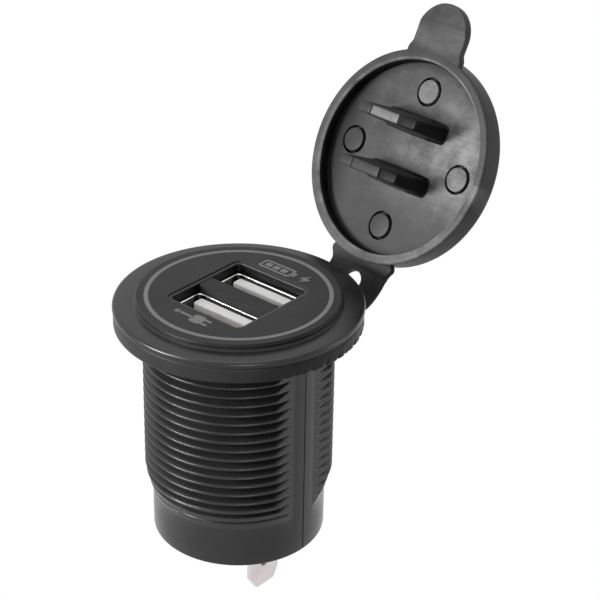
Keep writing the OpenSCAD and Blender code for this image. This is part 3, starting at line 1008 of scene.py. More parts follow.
@dataclass
class FaceParts:
    """The raised face plate, the printed film on it and the printed marks."""

    face_r: float = 15.15
    flange_top: float = 3.4
    plate_top: float = 4.2
    film_top: float = 4.4
    window_x: float = 13.5
    window_y: float = 14.9
    window_r: float = 0.8
    film_grow: float = 1.1
    film_r: float = 15.0
    skirt_r: float = 11.52
    skirt_wall: float = 0.9
    skirt_low: float = -2.8
    block_top: float = 2.9
    count: int = 288
    ring_outer_r: float = 13.85
    ring_inner_r: float = 13.2
    battery_at: tuple[float, float] = (-1.1, 9.75)
    bolt_at: tuple[float, float] = (4.3, 9.75)
    plug_y: float = -9.7

    def ring_surface(self, path: list[tuple[float, float, float]], count: int) -> Patch:
        """A closed band between the window's outline and a circle.

        Each path entry is (share, radius or grow, z). A share of 0 is the window's outline grown by
        the second number, a share of 1 is the circle with it as radius, and between them the two
        are mixed.

        Args:
            path: the band's cross section, all the way round.
            count: points around.

        Returns:
            The closed surface.
        """
        width, height, corner = self.window_x, self.window_y, self.window_r
        inner = round_rect(width + 0.3, height + 0.3, corner + 0.15, count)
        rows = []
        for share, size, z in path:
            if share == 0:
                flat = round_rect(width + size, height + size, corner + size / 2, count)
            else:
                flat = size * unit_circle(count)
                if share < 1:
                    flat = share * flat + (1 - share) * inner
            rows.append(at_height(flat, z))
        # painted shade makes the window's wall black up to its edge, and a painted highlight makes a
        # paler border around it
        wall = [share == 0 and z < self.plate_top - 0.06 for share, _, z in path]
        border = [0.12 if share == 0 else 0.0 for share, _, _ in path]
        painted_light_shade = np.where(wall, -1.2, border)
        return Patch(np.stack(rows), wrap_rows=True, wrap_cols=True, painted_light_shade=painted_light_shade)
    def plate(self) -> bpy.types.Object:
        """The face plate with its skirt: eased edges and a small fillet at its foot."""
        top, low = self.plate_top, self.flange_top
        inner = self.skirt_r - self.skirt_wall
        path = [
            (0, 0.0, self.block_top + 0.01),
            (0, 0.0, top - 0.12),
            (0, 0.03, top - 0.05),
            (0, 0.10, top - 0.01),
            (0, 0.22, top),
            (0.5, self.face_r - 0.14, top),
            (1, self.face_r - 0.16, top),
            (1, self.face_r - 0.06, top - 0.03),
            (1, self.face_r, top - 0.11),
            (1, self.face_r, low + 0.24),
            (1, self.face_r + 0.10, low + 0.16),
            (1, self.face_r + 0.22, low + 0.10),
            (1, self.face_r + 0.30, low + 0.01),
            (1, self.skirt_r, low + 0.01),
            (1, self.skirt_r, self.skirt_low + 0.1),
            (1, self.skirt_r - 0.1, self.skirt_low),
            (1, inner, self.skirt_low),
            (1, inner, self.block_top + 0.01),
        ]
        return make_piece("face_plate_dressed", [self.ring_surface(path, self.count)])

    def film(self) -> bpy.types.Object:
        """The printed film: a thin band with an eased outer and window edge."""
        grow = self.film_grow
        path = [
            (0, grow, self.plate_top + 0.005),
            (0, grow, self.film_top - 0.05),
            (0, grow + 0.08, self.film_top),
            (0.5, self.film_r - 0.1, self.film_top),
            (1, self.film_r - 0.06, self.film_top),
            (1, self.film_r, self.film_top - 0.05),
            (1, self.film_r, self.plate_top + 0.005),
        ]
        return make_piece("face_film", [self.ring_surface(path, self.count)])

    def flat_mark(self, outline: np.ndarray) -> Patch:
        """A printed shape: its outline raised over the film, closed with a fan at its middle."""
        rows = [at_height(outline, self.film_top + lift) for lift in (-0.02, 0.012)]
        return Patch(np.stack(rows), wrap_cols=True, cap_first=True, cap_last=True)

    def band_mark(self, outer: np.ndarray, inner: np.ndarray) -> Patch:
        """A printed line between two outlines with equally many points."""
        low, high = self.film_top - 0.02, self.film_top + 0.012
        rows = [(outer, low), (outer, high), (inner, high), (inner, low)]
        grid = np.stack([at_height(flat, z) for flat, z in rows])
        return Patch(grid, wrap_rows=True, wrap_cols=True)

    def marks(self) -> bpy.types.Object:
        """The printed ring, charge bars with a bolt by one port, and a plain plug by the other."""
        circle = unit_circle(192)
        parts = [self.band_mark(self.ring_outer_r * circle, self.ring_inner_r * circle)]

        def bar(width: float, height: float, radius: float, count: int, x: float, y: float) -> None:
            """Prints a rectangle with round corners at a place."""
            parts.append(self.flat_mark(round_rect(width, height, radius, count) + [x, y]))

        # battery outline with its cap and bars
        x, y = self.battery_at
        outer, inner = round_rect(6.0, 2.3, 0.4, 96), round_rect(5.3, 1.6, 0.25, 96)
        parts.append(self.band_mark(outer + [x, y], inner + [x, y]))
        bar(0.5, 1.1, 0.12, 32, x + 3.35, y)
        for i in range(3):
            bar(1.1, 1.0, 0.1, 32, x - 1.65 + 1.5 * i, y)
        bolt = [[0.25, 1.3], [-0.85, -0.2], [-0.05, -0.2], [-0.3, -1.3], [0.85, 0.25], [0.05, 0.25]]
        parts.append(self.flat_mark(divided(np.array(bolt), 0.2, closed=True) + self.bolt_at))
        # plug sign: a body with two prongs, its lead and the lead's end
        bar(2.2, 2.2, 0.7, 64, 0.9, self.plug_y)
        for dy in (-0.55, 0.55):
            bar(1.3, 0.42, 0.15, 32, 2.5, self.plug_y + dy)
        bar(2.9, 0.42, 0.18, 48, -1.4, self.plug_y)
        bar(0.9, 0.9, 0.44, 32, -3.0, self.plug_y)
        return make_piece("face_print", parts, sharp=20)


@dataclass
class PortParts:
    """Shells, tongues and contacts of the two ports."""

    offset: float = 4.24
    shell_w: float = 13.2
    shell_h: float = 5.7
    sheet: float = 0.3
    top: float = 2.8
    length: float = 13.5
    tongue_w: float = 11.1
    tongue_t: float = 1.84
    tongue_hi: float = 2.2
    tongue_top: float = 2.5
    base_top: float = -6.3
    spring_x: float = 3.0
    spring_low: float = 3.4
    spring_len: float = 5.6
    spring_bow: float = 0.5
    points: int = 160

    def shell(self, name: str, y: float) -> bpy.types.Object:
        """A drawn sheet-metal shell: a round rectangle with a rolled rim and four springs.

        Args:
            name: the piece's name.
            y: the port's middle.

        Returns:
            The object.
        """
        low, t = self.top - self.length, self.sheet
        corners = [(0, low, 0.1), (0, self.top, 0.14), (t, self.top, 0.14), (t, low, 0.1)]
        path = divided(rounded_path(corners, True, 6), 1.0, closed=True)
        rows = []
        for inset, z in path:
            width, height = self.shell_w - 2 * inset, self.shell_h - 2 * inset
            flat = round_rect(width, height, 0.55 - 0.5 * inset, self.points)
            rows.append(at_height(flat + [0, y], z))
        # painted shade: the inner walls a little below the rim are darkened, as if they mirrored only
        # dark
        inside = (path[:, 0] > t - 0.02) & (path[:, 1] < self.top - 0.1)
        painted_light_shade = np.where(inside, -0.85, 0.0)
        parts = [Patch(np.stack(rows), wrap_rows=True, wrap_cols=True, painted_light_shade=painted_light_shade)]
        # springs: strips that bow inwards from both long walls
        along = np.linspace(0, 1, 17)
        z = self.top - self.spring_low - self.spring_len * along
        bow = 0.02 + self.spring_bow * np.sin(np.pi * np.clip(along * 1.08, 0, 1)) ** 1.5
        same = np.ones(17)
        section = box_sections(0.95 * same, 0 * same, 0.22 * same, 0.09 * same, 3)
        for side in (-1, 1):
            face = side * (self.shell_h / 2 - t) - side * bow
            for x in (-self.spring_x, self.spring_x):
                strip_y = y + face[:, None] + side * section[..., 1]
                strip_z = np.broadcast_to(z[:, None], section.shape[:2])
                points = np.stack([x + section[..., 0], strip_y, strip_z], -1)
                # the springs carry painted shade too
                parts.append(closed_bar(points, painted_light_shade=-0.8))
        return make_piece(name, parts)

    def paint_pocket_shade(self, piece: bpy.types.Object) -> None:
        """Paints shade on the port frame: black all over, but for the bar between the two ports."""
        mesh = piece.data
        points = np.empty(len(mesh.vertices) * 3)
        mesh.vertices.foreach_get("co", points)
        points = points.reshape(-1, 3) / MM
        between = np.abs(points[:, 1]) < self.offset - self.shell_h / 2 + 0.1
        bar = between & (points[:, 2] > self.top - 0.2)
        painted_light_shade = np.where(bar, 0.0, -1.0).astype(np.float32)
        mesh.attributes.new("painted_light_shade", "FLOAT", "POINT").data.foreach_set("value", painted_light_shade)

    def tongue(self, name: str, y: float) -> bpy.types.Object:
        """The white tongue with eased edges, and its base that fills the shell.

        Args:
            name: the piece's name.
            y: the port's middle.

        Returns:
            The object.
        """
        low, gap = self.top - self.length, 0.35
        base_x, base_y = self.shell_w / 2 - self.sheet - 0.05, self.shell_h / 2 - gap
        tongue_low, root = self.tongue_hi - self.tongue_t, self.base_top - 1
        # each bar: half length, the two sides, the two ends in height, and its rounding
        bars = (
            (self.tongue_w / 2, tongue_low, self.tongue_hi, root, self.tongue_top, 0.28),
            (base_x, -base_y, base_y, low, self.base_top, 0.25),
        )
        parts = []
        for half_x, low_y, high_y, low_z, high_z, radius in bars:
            x = end_spaced(-half_x, half_x, radius, [])
            same = np.ones(len(x))
            mid, half = (low_y + high_y) / 2, (high_y - low_y) / 2
            bar = rounded_bar(x, half * same, low_z * same, high_z * same, radius)
            parts.append(closed_bar(bar.points + np.array([0, y + mid, 0])))
        return make_piece(name, parts)


# The soft cap, one moulding


@dataclass
class FlipCap:
    """The cap: ring, strap and lid in one soft moulding, which bends at its strap.

    The lid is worked out in its closed place, turned about the hinge line to its open place, and
    turned on the barrel with the ring.
    """

    ring_turn: float = -6.2
    lid_open: float = 118.06
    hinge: tuple[float, float, float] = (0.0, 20.133, 0.247)
    hinge_dir: tuple[float, float, float] = (0.99989, 0.01272, 0.00763)
    ring_bore: float = 14.72
    ring_r: float = 18.4
    ring_t: float = 2.4
    lid_r: float = 16.8
    lid_inner: float = 15.28
    lid_low: float = 3.42
    lid_floor_z: float = 5.67
    floor_r: float = 14.95
    lid_top: float = 7.57
    plug_y: tuple[float, float] = (3.02, -5.5)
    plug_len: float = 12.0
    plug_h: float = 7.8
    plug_t: float = 2.5
    plug_tip_t: float = 1.6
    pad_r: float = 2.0
    pad_at: float = 10.9
    tab_half_w: float = 4.9
    tab_reach: float = 24.5
    tab_t: float = 1.3
    strap_half_w: float = 5.6
    strap_t: float = 0.95
    hole_r: float = 1.9
    hole_at: tuple[float, float] = (23.2, -1.75)
    flash: tuple[float, float] = (-22, 48)
    flash_bite: float = 0.16
    cuts: tuple[float, float] = (-3.35, 2.55)
    cut_half_w: float = 0.1
    # middle line of the strap, from the ring to the lid, as (distance from the barrel's axis, z)
    strap_line: tuple[tuple[float, float], ...] = (
        (17.4, 1.28), (17.9, 1.05), (18.5, 0.6), (19.05, -0.7), (19.35, -2.0), (19.85, -2.95),
        (20.6, -3.3), (21.5, -3.0), (22.5, -2.4), (23.6, -1.45), (24.35, -0.6), (24.9, 0.1),
    )

    def on_ring(self, points: np.ndarray) -> np.ndarray:
        """Turns points about Z with the ring."""
        return points @ about((0, 0, 1), self.ring_turn).T

    def on_lid(self, points: np.ndarray) -> np.ndarray:
        """Opens points of the closed lid about the hinge line, then turns them with the ring."""
        hinge = np.array(self.hinge)
        return self.on_ring((points - hinge) @ about(self.hinge_dir, -self.lid_open).T + hinge)

    def placed(
        self, patch: Patch | Sheet, move: Callable[[np.ndarray], np.ndarray]
    ) -> Patch | Sheet:
        """A patch or sheet with its points moved."""
        return replace(patch, points=move(patch.points))

    def ring(self) -> Patch:
        """The ring, round-edged, with mould flash on one side of its lower outer edge."""
        angle = np.linspace(0, 2 * np.pi, 360, endpoint=False)
        path = divided(
            rounded_path(
                [
                    (self.ring_bore, 0.0, 0.15),
                    (self.ring_r, 0.0, 0.35),
                    (self.ring_r, self.ring_t, 0.4),
                    (self.ring_bore, self.ring_t, 0.15),
                ],
                True,
                6,
            ),
            0.6,
            closed=True,
        )
        grid = turned(path, angle)
        # flash: uneven bites into the lower outer edge between two angles
        turn = (np.degrees(angle) + 180) % 360 - 180
        start, end = self.flash
        zone = smooth((turn - start) / 6) * smooth((end - turn) / 6)
        wave = np.sin(angle * 47 + 1.3) + 0.7 * np.sin(angle * 83 + 0.4) + 0.5 * np.sin(angle * 131)
        bite = zone * np.clip(wave, -0.2, 2.0) * self.flash_bite
        outside = np.hypot(grid[..., 0], grid[..., 1]) > self.ring_bore + 0.8
        low = smooth((1.3 - grid[..., 2]) / 1.2) * outside
        grid[..., :2] *= (1 - low * bite[None, :] / self.ring_r)[..., None]
        # painted shade darkens the whole ring a little
        return Patch(grid, wrap_rows=True, wrap_cols=True, painted_light_shade=-0.35)

    def lid_shell(self) -> Patch:
        """The lid's bowl, turned about its axis: steep inner wall, edge with a painted highlight, rim
        and back.
        """
        path = rounded_path(
            [
                (self.floor_r, self.lid_floor_z, 0),
                (self.lid_inner - 0.06, self.lid_floor_z, 0.2),
                (self.lid_inner, self.lid_low + 0.32, 0.1),
                (self.lid_inner + 0.3, self.lid_low, 0.08),
                (self.lid_r, self.lid_low, 0.3),
                (self.lid_r, self.lid_top, 0.95),
                (self.lid_r - 2.45, self.lid_top, 0.12),
                (self.lid_r - 2.65, self.lid_top - 0.25, 0.12),
                (0.5, self.lid_top - 0.25, 0),
            ],
            False,
            7,
        )
        path = divided(path, 1.2)
        angle = np.linspace(0, 2 * np.pi, 240, endpoint=False)
        r, z = path[:, 0], path[:, 1]
        # a painted highlight on the foot's inner edge, and painted shade that makes the wall behind
        # it black
        foot = (np.abs(r - self.lid_inner - 0.15) < 0.17) & (z < self.lid_low + 0.35)
        wall = (r < self.lid_inner + 0.02) & (z > self.lid_low + 0.4) & (z < self.lid_floor_z + 0.1)
        painted_light_shade = np.where(wall, -1.3, np.where(foot, 1.0, 0.0))
        grid = turned(path, angle)
        # painted light: the outside is paler on the strap's side, with two brighter painted streaks
        outer = 0.14 + 0.14 * np.sin(angle)
        for height, middle, width in ((0.6, 0.06, 0.09), (0.35, 0.85, 0.25)):
            outer += height * np.exp(-(((angle - middle) / width) ** 2))
        painted_light_shade = np.where((r > self.lid_inner + 0.32)[:, None], outer, painted_light_shade[:, None])
        painted_light_shade[0] = self.floor_painted_light(grid[0, :, :2])
        return Patch(grid, wrap_cols=True, cap_last=True, painted_light_shade=painted_light_shade)

    def floor_painted_light(self, points: np.ndarray) -> np.ndarray:
        """The painted light on the lid's floor: a painted sheen strong towards +X, weak at the other
        sides, and painted shade towards −X and at the rim.
        """
        x, y = points[:, 0], points[:, 1]
        rim = smooth((np.hypot(x, y) - 14.0) / 1.0)
        across = 1 - 0.85 * smooth((np.abs(y + 2.6) - 2.6) / 8.0)
        glow = 0.10 + 0.90 * smooth((x + 8) / 19) * across - 0.22 * smooth((y - 4) / 8)
        return glow - 1.0 * smooth((-x - 8.5) / 6) - 0.5 * rim

    def lid_floor(self) -> list[Patch | Sheet]:
        """The lid's floor: a flat sheet, and four low round pads, each in a fine groove."""
        z, r, gap = self.lid_floor_z, self.pad_r - 0.14, 0.46
        path = rounded_path(
            [
                (r + gap, z, 0),
                (r + gap - 0.04, z + 0.9, 0.05),
                (r + 0.04, z + 0.9, 0.05),
                (r, z - 0.22, 0.1),
                (0.3, z - 0.22, 0),
            ],
            False,
            5,
        )
        angle = np.linspace(0, 2 * np.pi, 64, endpoint=False)
        circle = unit_circle(64)
        out: list[Patch | Sheet] = []
        holes = []
        for a, painted_sheen in ((0, 0.9), (90, 0.0), (180, -0.2), (270, 0.65)):
            turn = math.radians(a)
            middle = self.pad_at * np.array([math.cos(turn), math.sin(turn), 0])
            grid = turned(path, angle) + middle
            # painted shade blackens each groove's walls, and each pad gets its own level of painted
            # sheen
            painted_light_shade = np.repeat(np.where(path[:, 1] > z + 0.08, -1.0, painted_sheen)[:, None], len(angle), 1)
            painted_light_shade[0] = self.floor_painted_light(grid[0, :, :2])
            out.append(Patch(grid, wrap_cols=True, cap_last=True, painted_light_shade=painted_light_shade))
            holes.append((r + gap) * circle + middle[:2])
        out.append(sheet_with_holes(self.floor_r * unit_circle(240), holes, z, self.floor_painted_light))
        return out

    def plug(self, y: float) -> Patch:
        """One dummy plug: a fin along X whose section tapers to an eased tip.

        Height over the floor is a function of x: the middle land is highest, the end lands are 0.2
        lower, and fine cross grooves part them. The fin swells a little towards its middle.

        Args:
            y: the fin's middle.

        Returns:
            The closed surface.
        """
        half = self.plug_len / 2
        first, last = self.cuts
        edges = [c + d for c in self.cuts for d in (-0.3, -0.15, -0.1, 0.1, 0.15, 0.3)]
        x = end_spaced(-half, half, 0.6, edges, 7)
        n = len(x)
        end = np.minimum(smooth((x - first + 0.12) / 0.06), smooth((last + 0.12 - x) / 0.06))
        groove = sum(1 - smooth((np.abs(x - c) - self.cut_half_w) / 0.06) for c in self.cuts)
        height = self.plug_h - 0.2 * (1 - end) - 0.35 * groove - eased_ends(x, 0.25)
        swell = 0.16 * (1 - (x / half) ** 2)
        ease = eased_ends(x, 0.6)
        level = (-0.6, 0.02, 0.12, 0.35, 2.0, 4.0, 6.0)
        rows_h = [np.full(n, v) for v in level]
        rows_h += [height - 0.4, height - 0.12, height - 0.02, height]
        flare = (0.34, 0.30, 0.12, 0.0, 0, 0, 0, 0, -0.06, -0.16, -0.24)
        widths = []
        for h, extra in zip(rows_h, flare):
            share = np.clip(h / self.plug_h, 0, 1)
            thickness = self.plug_t + (self.plug_tip_t - self.plug_t) * share
            widths.append(thickness / 2 + swell * (1 - 0.6 * share) + extra - ease)
        up = np.stack(rows_h, -1)
        out = np.maximum(np.stack(widths, -1), 0.05)
        lean = 1 - 0.02 * np.clip(up / self.plug_h, 0, 1) * np.abs(x[:, None]) / half
        spread = 1 + 0.04 * np.clip(1 - up / 0.3, 0, 1) * (np.abs(x[:, None]) / half) ** 8
        run = x[:, None] * lean * spread
        left = np.stack([run, y - out, self.lid_floor_z - up], -1)
        right = np.stack([run, y + out, self.lid_floor_z - up], -1)
        grid = np.concatenate([left, right[:, ::-1]], 1)
        # painted light: the middle land of the fin at −Y gets a painted sheen, and painted shade
        # darkens the other lands, the first cut, the flanks and the end beyond the last cut
        pale = 0.75 if y < 0 else -0.1
        near = smooth((2.6 - x) / 0.1)
        land = np.where(x < first, -0.3, pale) * near - 1.1 * (1 - near)
        land = np.where(np.abs(x - first) < 0.17, -1.1, land)
        flank = -0.35 * near - 0.95 * (1 - near)
        # the two columns of points in the middle of each row edge the tip's land
        middle = np.abs(np.arange(grid.shape[1]) - (grid.shape[1] - 1) / 2) < 1
        return closed_bar(grid, np.where(middle, land[:, None], flank[:, None]))

    def tab(self) -> Patch:
        """The pull tab: a round-edged strip with a half-round end, thicker near its tip."""
        w, r = self.tab_half_w, 0.35
        tip = self.tab_reach - 0.02
        turn = np.linspace(0, np.pi / 2, 16)
        y = np.concatenate([np.linspace(15.75, tip - w, 12)[:-1], tip - w + w * np.sin(turn)])
        y = np.unique(np.round(np.concatenate([y, np.linspace(19.4, 21.6, 9)]), 4))
        half = np.where(y > tip - w, np.sqrt(np.maximum(0.02, w * w - (y - tip + w) ** 2)), w)
        # the root flares into the rim with a small fillet
        half = half + 0.5 * (1 - smooth((y - self.lid_r + 0.3) / 1.3))
        near = np.maximum(0, r - (tip - y))
        ease = r - np.sqrt(np.maximum(0, r * r - near * near))
        low = self.lid_low + 0.03 - 0.26 * smooth((y - 19.6) / 1.6)
        high = np.full(len(y), self.lid_low + self.tab_t)
        section = box_sections(half, low + ease, high - ease, np.full(len(y), r), 6)
        # a painted highlight makes the tab paler over its middle band and towards its tip
        painted_light_shade = 0.22 * smooth((y - 16.4) / 1.5) * smooth((20.6 - y) / 1.5)
        return closed_bar(along_y(section, -y), painted_light_shade + 0.12 * smooth((y - 21.0) / 1.0))

    def lug(self) -> Patch:
        """The short lug on the lid's wall that the strap runs into, flared at the wall."""
        y = np.array([15.5, 16.0, 16.5, 16.9, 17.4, 17.9, 18.3, 18.6])
        half = np.interp(y, [15.5, 16.1, 16.7, 17.2, 17.8, 18.6], [5.6, 6.3, 6.45, 6.1, 5.75, 5.6])
        low = np.full(len(y), self.lid_floor_z - 1.55)
        section = box_sections(half, low, low + self.strap_t, np.full(len(y), 0.2), 5)
        # painted shade darkens the lug towards +X
        return closed_bar(along_y(section, y), -1.0 * smooth((section[..., 0] + 0.5) / 3.5))

    def strap(self) -> list[Patch]:
        """The strap: a band along a smooth curve, in two halves around its hole.

        The middle line is a Catmull-Rom curve through the given points. Across it, each half runs
        from the hole's edge, the root of r² − s², to the outer edge, over it and back on the other
        face. The two halves share the points on the middle line away from the hole.

        Returns:
            The patches, which close when their doubles are merged.
        """
        knots = np.array(self.strap_line)
        padded = np.vstack([2 * knots[0] - knots[1], knots, 2 * knots[-1] - knots[-2]])
        t = np.linspace(0, 1, 16, endpoint=False)[:, None]
        pieces = []
        for p0, p1, p2, p3 in zip(padded[:-3], padded[1:-2], padded[2:-1], padded[3:]):
            second = 2 * p0 - 5 * p1 + 4 * p2 - p3
            third = 3 * p1 - p0 - 3 * p2 + p3
            pieces.append(0.5 * (2 * p1 + (p2 - p0) * t + second * t**2 + third * t**3))
        line = np.vstack(pieces + [knots[-1:]])
        sides = np.linalg.norm(np.diff(line, axis=0), axis=1)
        run = np.concatenate([[0], np.cumsum(sides)])
        middle = run[np.argmin(np.linalg.norm(line - np.array(self.hole_at), axis=1))]
        r = self.hole_r
        turn = np.linspace(-np.pi / 2, np.pi / 2, 25)
        before = np.linspace(0.02, middle - r, 44)[:-1]
        after = np.linspace(middle + r, run[-1] - 0.02, 12)[1:]
        rows = np.concatenate([[0.0], before, middle + r * np.sin(turn), after, [run[-1]]])

        def on_line(places: np.ndarray) -> np.ndarray:
            """Points of the middle line at given distances along it."""
            return np.stack([np.interp(places, run, line[:, k]) for k in (0, 1)], -1)

        at = on_line(rows)
        way = on_line(rows + 0.05) - on_line(rows - 0.05)
        way = way / np.maximum(1e-9, np.linalg.norm(way, axis=1))[:, None]
        normal = np.stack([-way[:, 1], way[:, 0]], -1)
        thin = np.full(len(rows), self.strap_t / 2)
        thin[[0, -1]] = 0.0
        inner = np.sqrt(np.maximum(0, r * r - (rows - middle) ** 2))
        inner[np.abs(rows - middle) >= r - 1e-9] = 0
        wide = self.strap_half_w + 0.7 * (1 - smooth((rows - 0.9) / 0.9))
        c = np.minimum(0.22, thin)
        out = []
        for side in (-1, 1):
            steps = np.linspace(0, 1, 7)
            top_x = inner[:, None] + (wide - c - inner)[:, None] * steps
            arc = np.linspace(np.pi / 2, -np.pi / 2, 9)
            edge_x = (wide - c)[:, None] + c[:, None] * np.cos(arc)
            lift = np.where(arc > 0, 1, -1) * (thin - c)[:, None] + c[:, None] * np.sin(arc)
            across = np.hstack([top_x, edge_x[:, 1:-1], top_x[:, ::-1]])
            face = np.repeat(thin[:, None], 7, 1)
            up = np.hstack([face, lift[:, 1:-1], -face])
            yz = at[:, None, :] + normal[:, None, :] * up[..., None]
            grid = np.stack([side * across, yz[..., 0], yz[..., 1]], -1)
            # painted shade darkens the strap towards +X
            out.append(Patch(grid, painted_light_shade=-0.7 * smooth((grid[..., 0] - 0.5) / 4.0)))
            hole = np.abs(rows - middle) <= r + 1e-9
            wall = np.stack([grid[hole][:, 0], grid[hole][:, -1]], 1)
            out.append(Patch(wall))
        return out

    def build(self) -> bpy.types.Object:
        """Joins the ring, strap and lid into one object in the photographed place."""
        parts = [self.placed(self.ring(), self.on_ring)]
        parts += [self.placed(p, self.on_ring) for p in self.strap()]
        lid = [self.lid_shell(), self.tab(), self.lug()] + self.lid_floor()
        lid += [self.plug(y) for y in self.plug_y]
        parts += [self.placed(p, self.on_lid) for p in lid]
        return make_piece("flip_cap", parts, sharp=38)

    def bend(self, piece: bpy.types.Object) -> None:
        """Bakes the cap's transform into its mesh."""
        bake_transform(piece)


# Camera, light and background


@dataclass
class Studio:
    """The photograph's camera, soft lamps around the object and a white surrounding."""

    place: tuple[float, float, float] = (164.87, -179.96, 135.94)
    forward: tuple[float, float, float] = (-0.56954, 0.66920, -0.47728)
    right: tuple[float, float, float] = (0.75597, 0.65443, 0.01549)
    up: tuple[float, float, float] = (-0.32271, 0.35199, 0.87861)
    lens: float = 114.13
    floor_half: float = 3000.0
    floor_z: float = -46.0

    def stand(
        self, item: bpy.types.Object, axes: list[np.ndarray], place: tuple[float, ...]
    ) -> None:
        """Puts an object at a place in metres, with its X, Y and Z along the given axes."""
        matrix = Matrix.Identity(4)
        for i, axis in enumerate(axes + [np.array(place)]):
            for k in range(3):
                matrix[k][i] = float(axis[k])
        item.matrix_world = matrix

    def camera(self) -> None:
        """Places the camera where the photograph was taken."""
        data = bpy.data.cameras.new("photo_camera")
        data.lens, data.sensor_width = self.lens, 36.0
        data.clip_start, data.clip_end = 0.01, 10.0
        view = link_object("photo_camera", data)
        axes = [np.array(self.right), np.array(self.up), -np.array(self.forward)]
        self.stand(view, axes, tuple(v * MM for v in self.place))
        bpy.context.scene.camera = view

    def lamp(
        self,
        name: str,
        way: tuple[float, float, float],
        distance: float,
        size: tuple[float, float],
        watts: float,
    ) -> None:
        """Adds a soft lamp that faces the object.

        Args:
            name: the lamp's name.
            way: its direction as shares of camera right, camera up and towards the camera.
            distance: how far it stands, in metres.
            size: its width and height, in metres.
            watts: its power.
        """
        data = bpy.data.lights.new(name, "AREA")
        data.shape, data.size, data.size_y = "RECTANGLE", size[0], size[1]
        data.energy = watts
        right, up, ahead = np.array(self.right), np.array(self.up), np.array(self.forward)
        d = way[0] * right + way[1] * up - way[2] * ahead
        d = d / np.linalg.norm(d)
        side = np.cross([0.0, 0.0, 1.0], d)
        side = side / np.linalg.norm(side)
        self.stand(link_object(name, data), [side, np.cross(d, side), d], tuple(d * distance))

    def lamps(self) -> None:
        """A key and a narrow strip on the left, a strip on the right, and two weak fills."""
        self.lamp("key", (-0.93, 0.10, 0.40), 0.6, (0.16, 0.16), 4.8)
        self.lamp("left_strip", (-0.80, 0.20, 0.62), 0.5, (0.05, 0.4), 1.7)
        self.lamp("top", (0.0, 0.97, 0.22), 0.6, (0.35, 0.35), 0.85)
        self.lamp("right_strip", (1.0, 0.15, 0.05), 0.5, (0.12, 0.5), 0.45)
        self.lamp("front", (0.14, -0.34, 0.93), 0.7, (0.2, 0.2), 1.4)

    def white(self, name: str, grey: float) -> bpy.types.Material:
        """A surface that is white to the eye and in reflections, and a matt one to other light.

        To the eye it glows a little under white and adds the light that it gets. Its back is clear.

        Args:
            name: the material's name.
            grey: how pale it is to other light.

        Returns:
            The material.
        """
        material = bpy.data.materials.new(name)
        tree = blank_tree(material)
        camera_ray, all_seen = ray_kinds(tree)
        matt = add(tree, "ShaderNodeBsdfDiffuse", {"Color": (grey, grey, grey, 1.0)}).outputs[0]
        glow = add(tree, "ShaderNodeEmission", {"Color": WHITE, "Strength": 1.0}).outputs[0]
        under = add(tree, "ShaderNodeEmission", {"Color": WHITE, "Strength": 0.96}).outputs[0]
        pale = add(tree, "ShaderNodeBsdfDiffuse", {"Color": (0.8, 0.8, 0.8, 1.0)}).outputs[0]
        both = add(tree, "ShaderNodeAddShader", {}, {0: under, 1: pale}).outputs[0]
        front = mixed_shader(tree, all_seen, matt, mixed_shader(tree, camera_ray, glow, both))
        back = add(tree, "ShaderNodeNewGeometry").outputs["Backfacing"]
        clear = add(tree, "ShaderNodeBsdfTransparent").outputs[0]
        surface = mixed_shader(tree, back, front, clear)
        add(tree, "ShaderNodeOutputMaterial", {}, {"Surface": surface})
        return material

    def floor(self) -> None:
        """A wide pale floor a little under the blades, whose clear side faces up."""
        half, z = self.floor_half, self.floor_z
        near = [[-half, -half, z], [half, -half, z]]
        far = [[-half, half, z], [half, half, z]]
        square = np.array([near, far])
        piece = make_piece("floor", [Patch(square)])
        piece.data.materials.append(self.white("pale_floor", 0.3))

    def world(self) -> None:
        """A white surrounding to the eye and in reflections, and a weak even light otherwise."""
        world = bpy.data.worlds.new("studio")
        bpy.context.scene.world = world
        tree = blank_tree(world)
        strength = ranged(tree, ray_kinds(tree)[1], (0.0, 1.0), (0.08, 1.0))
        glow = add(tree, "ShaderNodeBackground", {"Color": WHITE}, {"Strength": strength})
        add(tree, "ShaderNodeOutputWorld", {}, {"Surface": glow.outputs[0]})

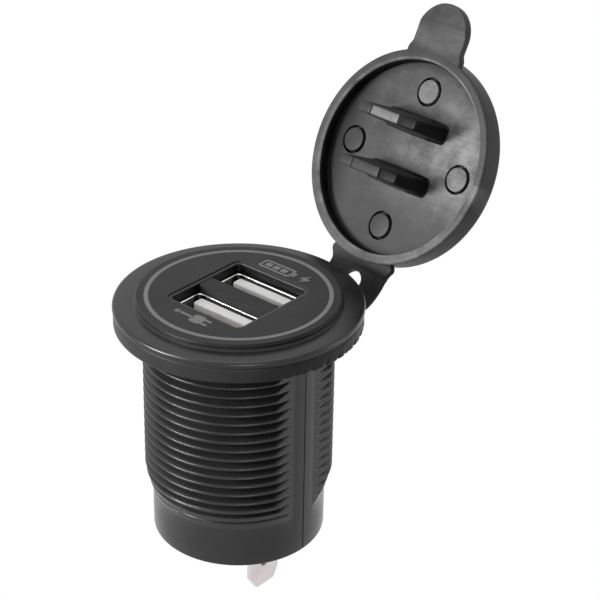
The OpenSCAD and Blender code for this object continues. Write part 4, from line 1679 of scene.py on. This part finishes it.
    def build(self) -> None:
        """Makes the camera, lamps, floor and surrounding."""
        self.camera()
        self.lamps()
        self.floor()
        self.world()
        bpy.context.scene.view_settings.view_transform = "Standard"


KEPT_NODES: dict[str, Finish] = {
    "usb_contacts_1": GOLD,
    "usb_contacts_2": GOLD,
    "port_board": MASK,
    "inductor": FERRITE,
    "capacitors": CAN,
    "controller_chips": EPOXY,
    "rectifier_diode": EPOXY,
    "indicator_led": LENS,
    "wire_positive": WIRE_RED,
    "wire_negative": WIRE_BLACK,
}


def main() -> None:
    """Builds the whole scene in order."""
    logging.basicConfig(level=logging.INFO, format="%(message)s")
    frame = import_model()
    studio = Studio()
    studio.build()
    shop = Workshop(frame)
    nodes = frame["nodes"]

    shop.place(BarrelHousing().build(), HOUSING, "housing_plastic", "socket", ("housing",))
    face = FaceParts()
    shop.place(face.plate(), FACE, "face_plastic", "socket", ("face_plate",))
    shop.place(face.film(), FILM, "overlay", "socket", ("face_overlay",))
    shop.place(face.marks(), INK, "overlay", "socket", ())
    ports = PortParts()
    for i, y in ((1, ports.offset), (2, -ports.offset)):
        shell, tongue = ports.shell(f"port_shell_{i}", y), ports.tongue(f"port_tongue_{i}", y)
        shop.place(shell, STEEL, "shell_steel", "socket", (f"usb_shell_{i}",))
        shop.place(tongue, NYLON, "tongue_plastic", "socket", (f"usb_tongue_{i}",))
    frame_piece = softened_copy("port_frame", nodes["port_block"], 0.12)
    ports.paint_pocket_shade(frame_piece)
    shop.place(frame_piece, BLOCK, "port_plastic", "socket", ("port_block",))
    cover = softened_copy("rear_plate", nodes["rear_cover"], 0.15)
    shop.place(cover, HOUSING, "cover_plastic", "socket", ("rear_cover",))
    for side in ("positive", "negative"):
        piece = softened_copy(f"tab_terminal_{side}", nodes[f"blade_{side}"], 0.10)
        shop.place(piece, TIN, "blade_metal", "socket", (f"blade_{side}",))
    for node, finish in KEPT_NODES.items():
        shop.dress_node(node, finish)

    cap = FlipCap()
    piece = cap.build()
    shop.place(piece, RUBBER, "cap_rubber", "", ("cap_ring", "cap_strap", "cap_lid"))
    cap.bend(piece)


if __name__ == "__main__":
    main()
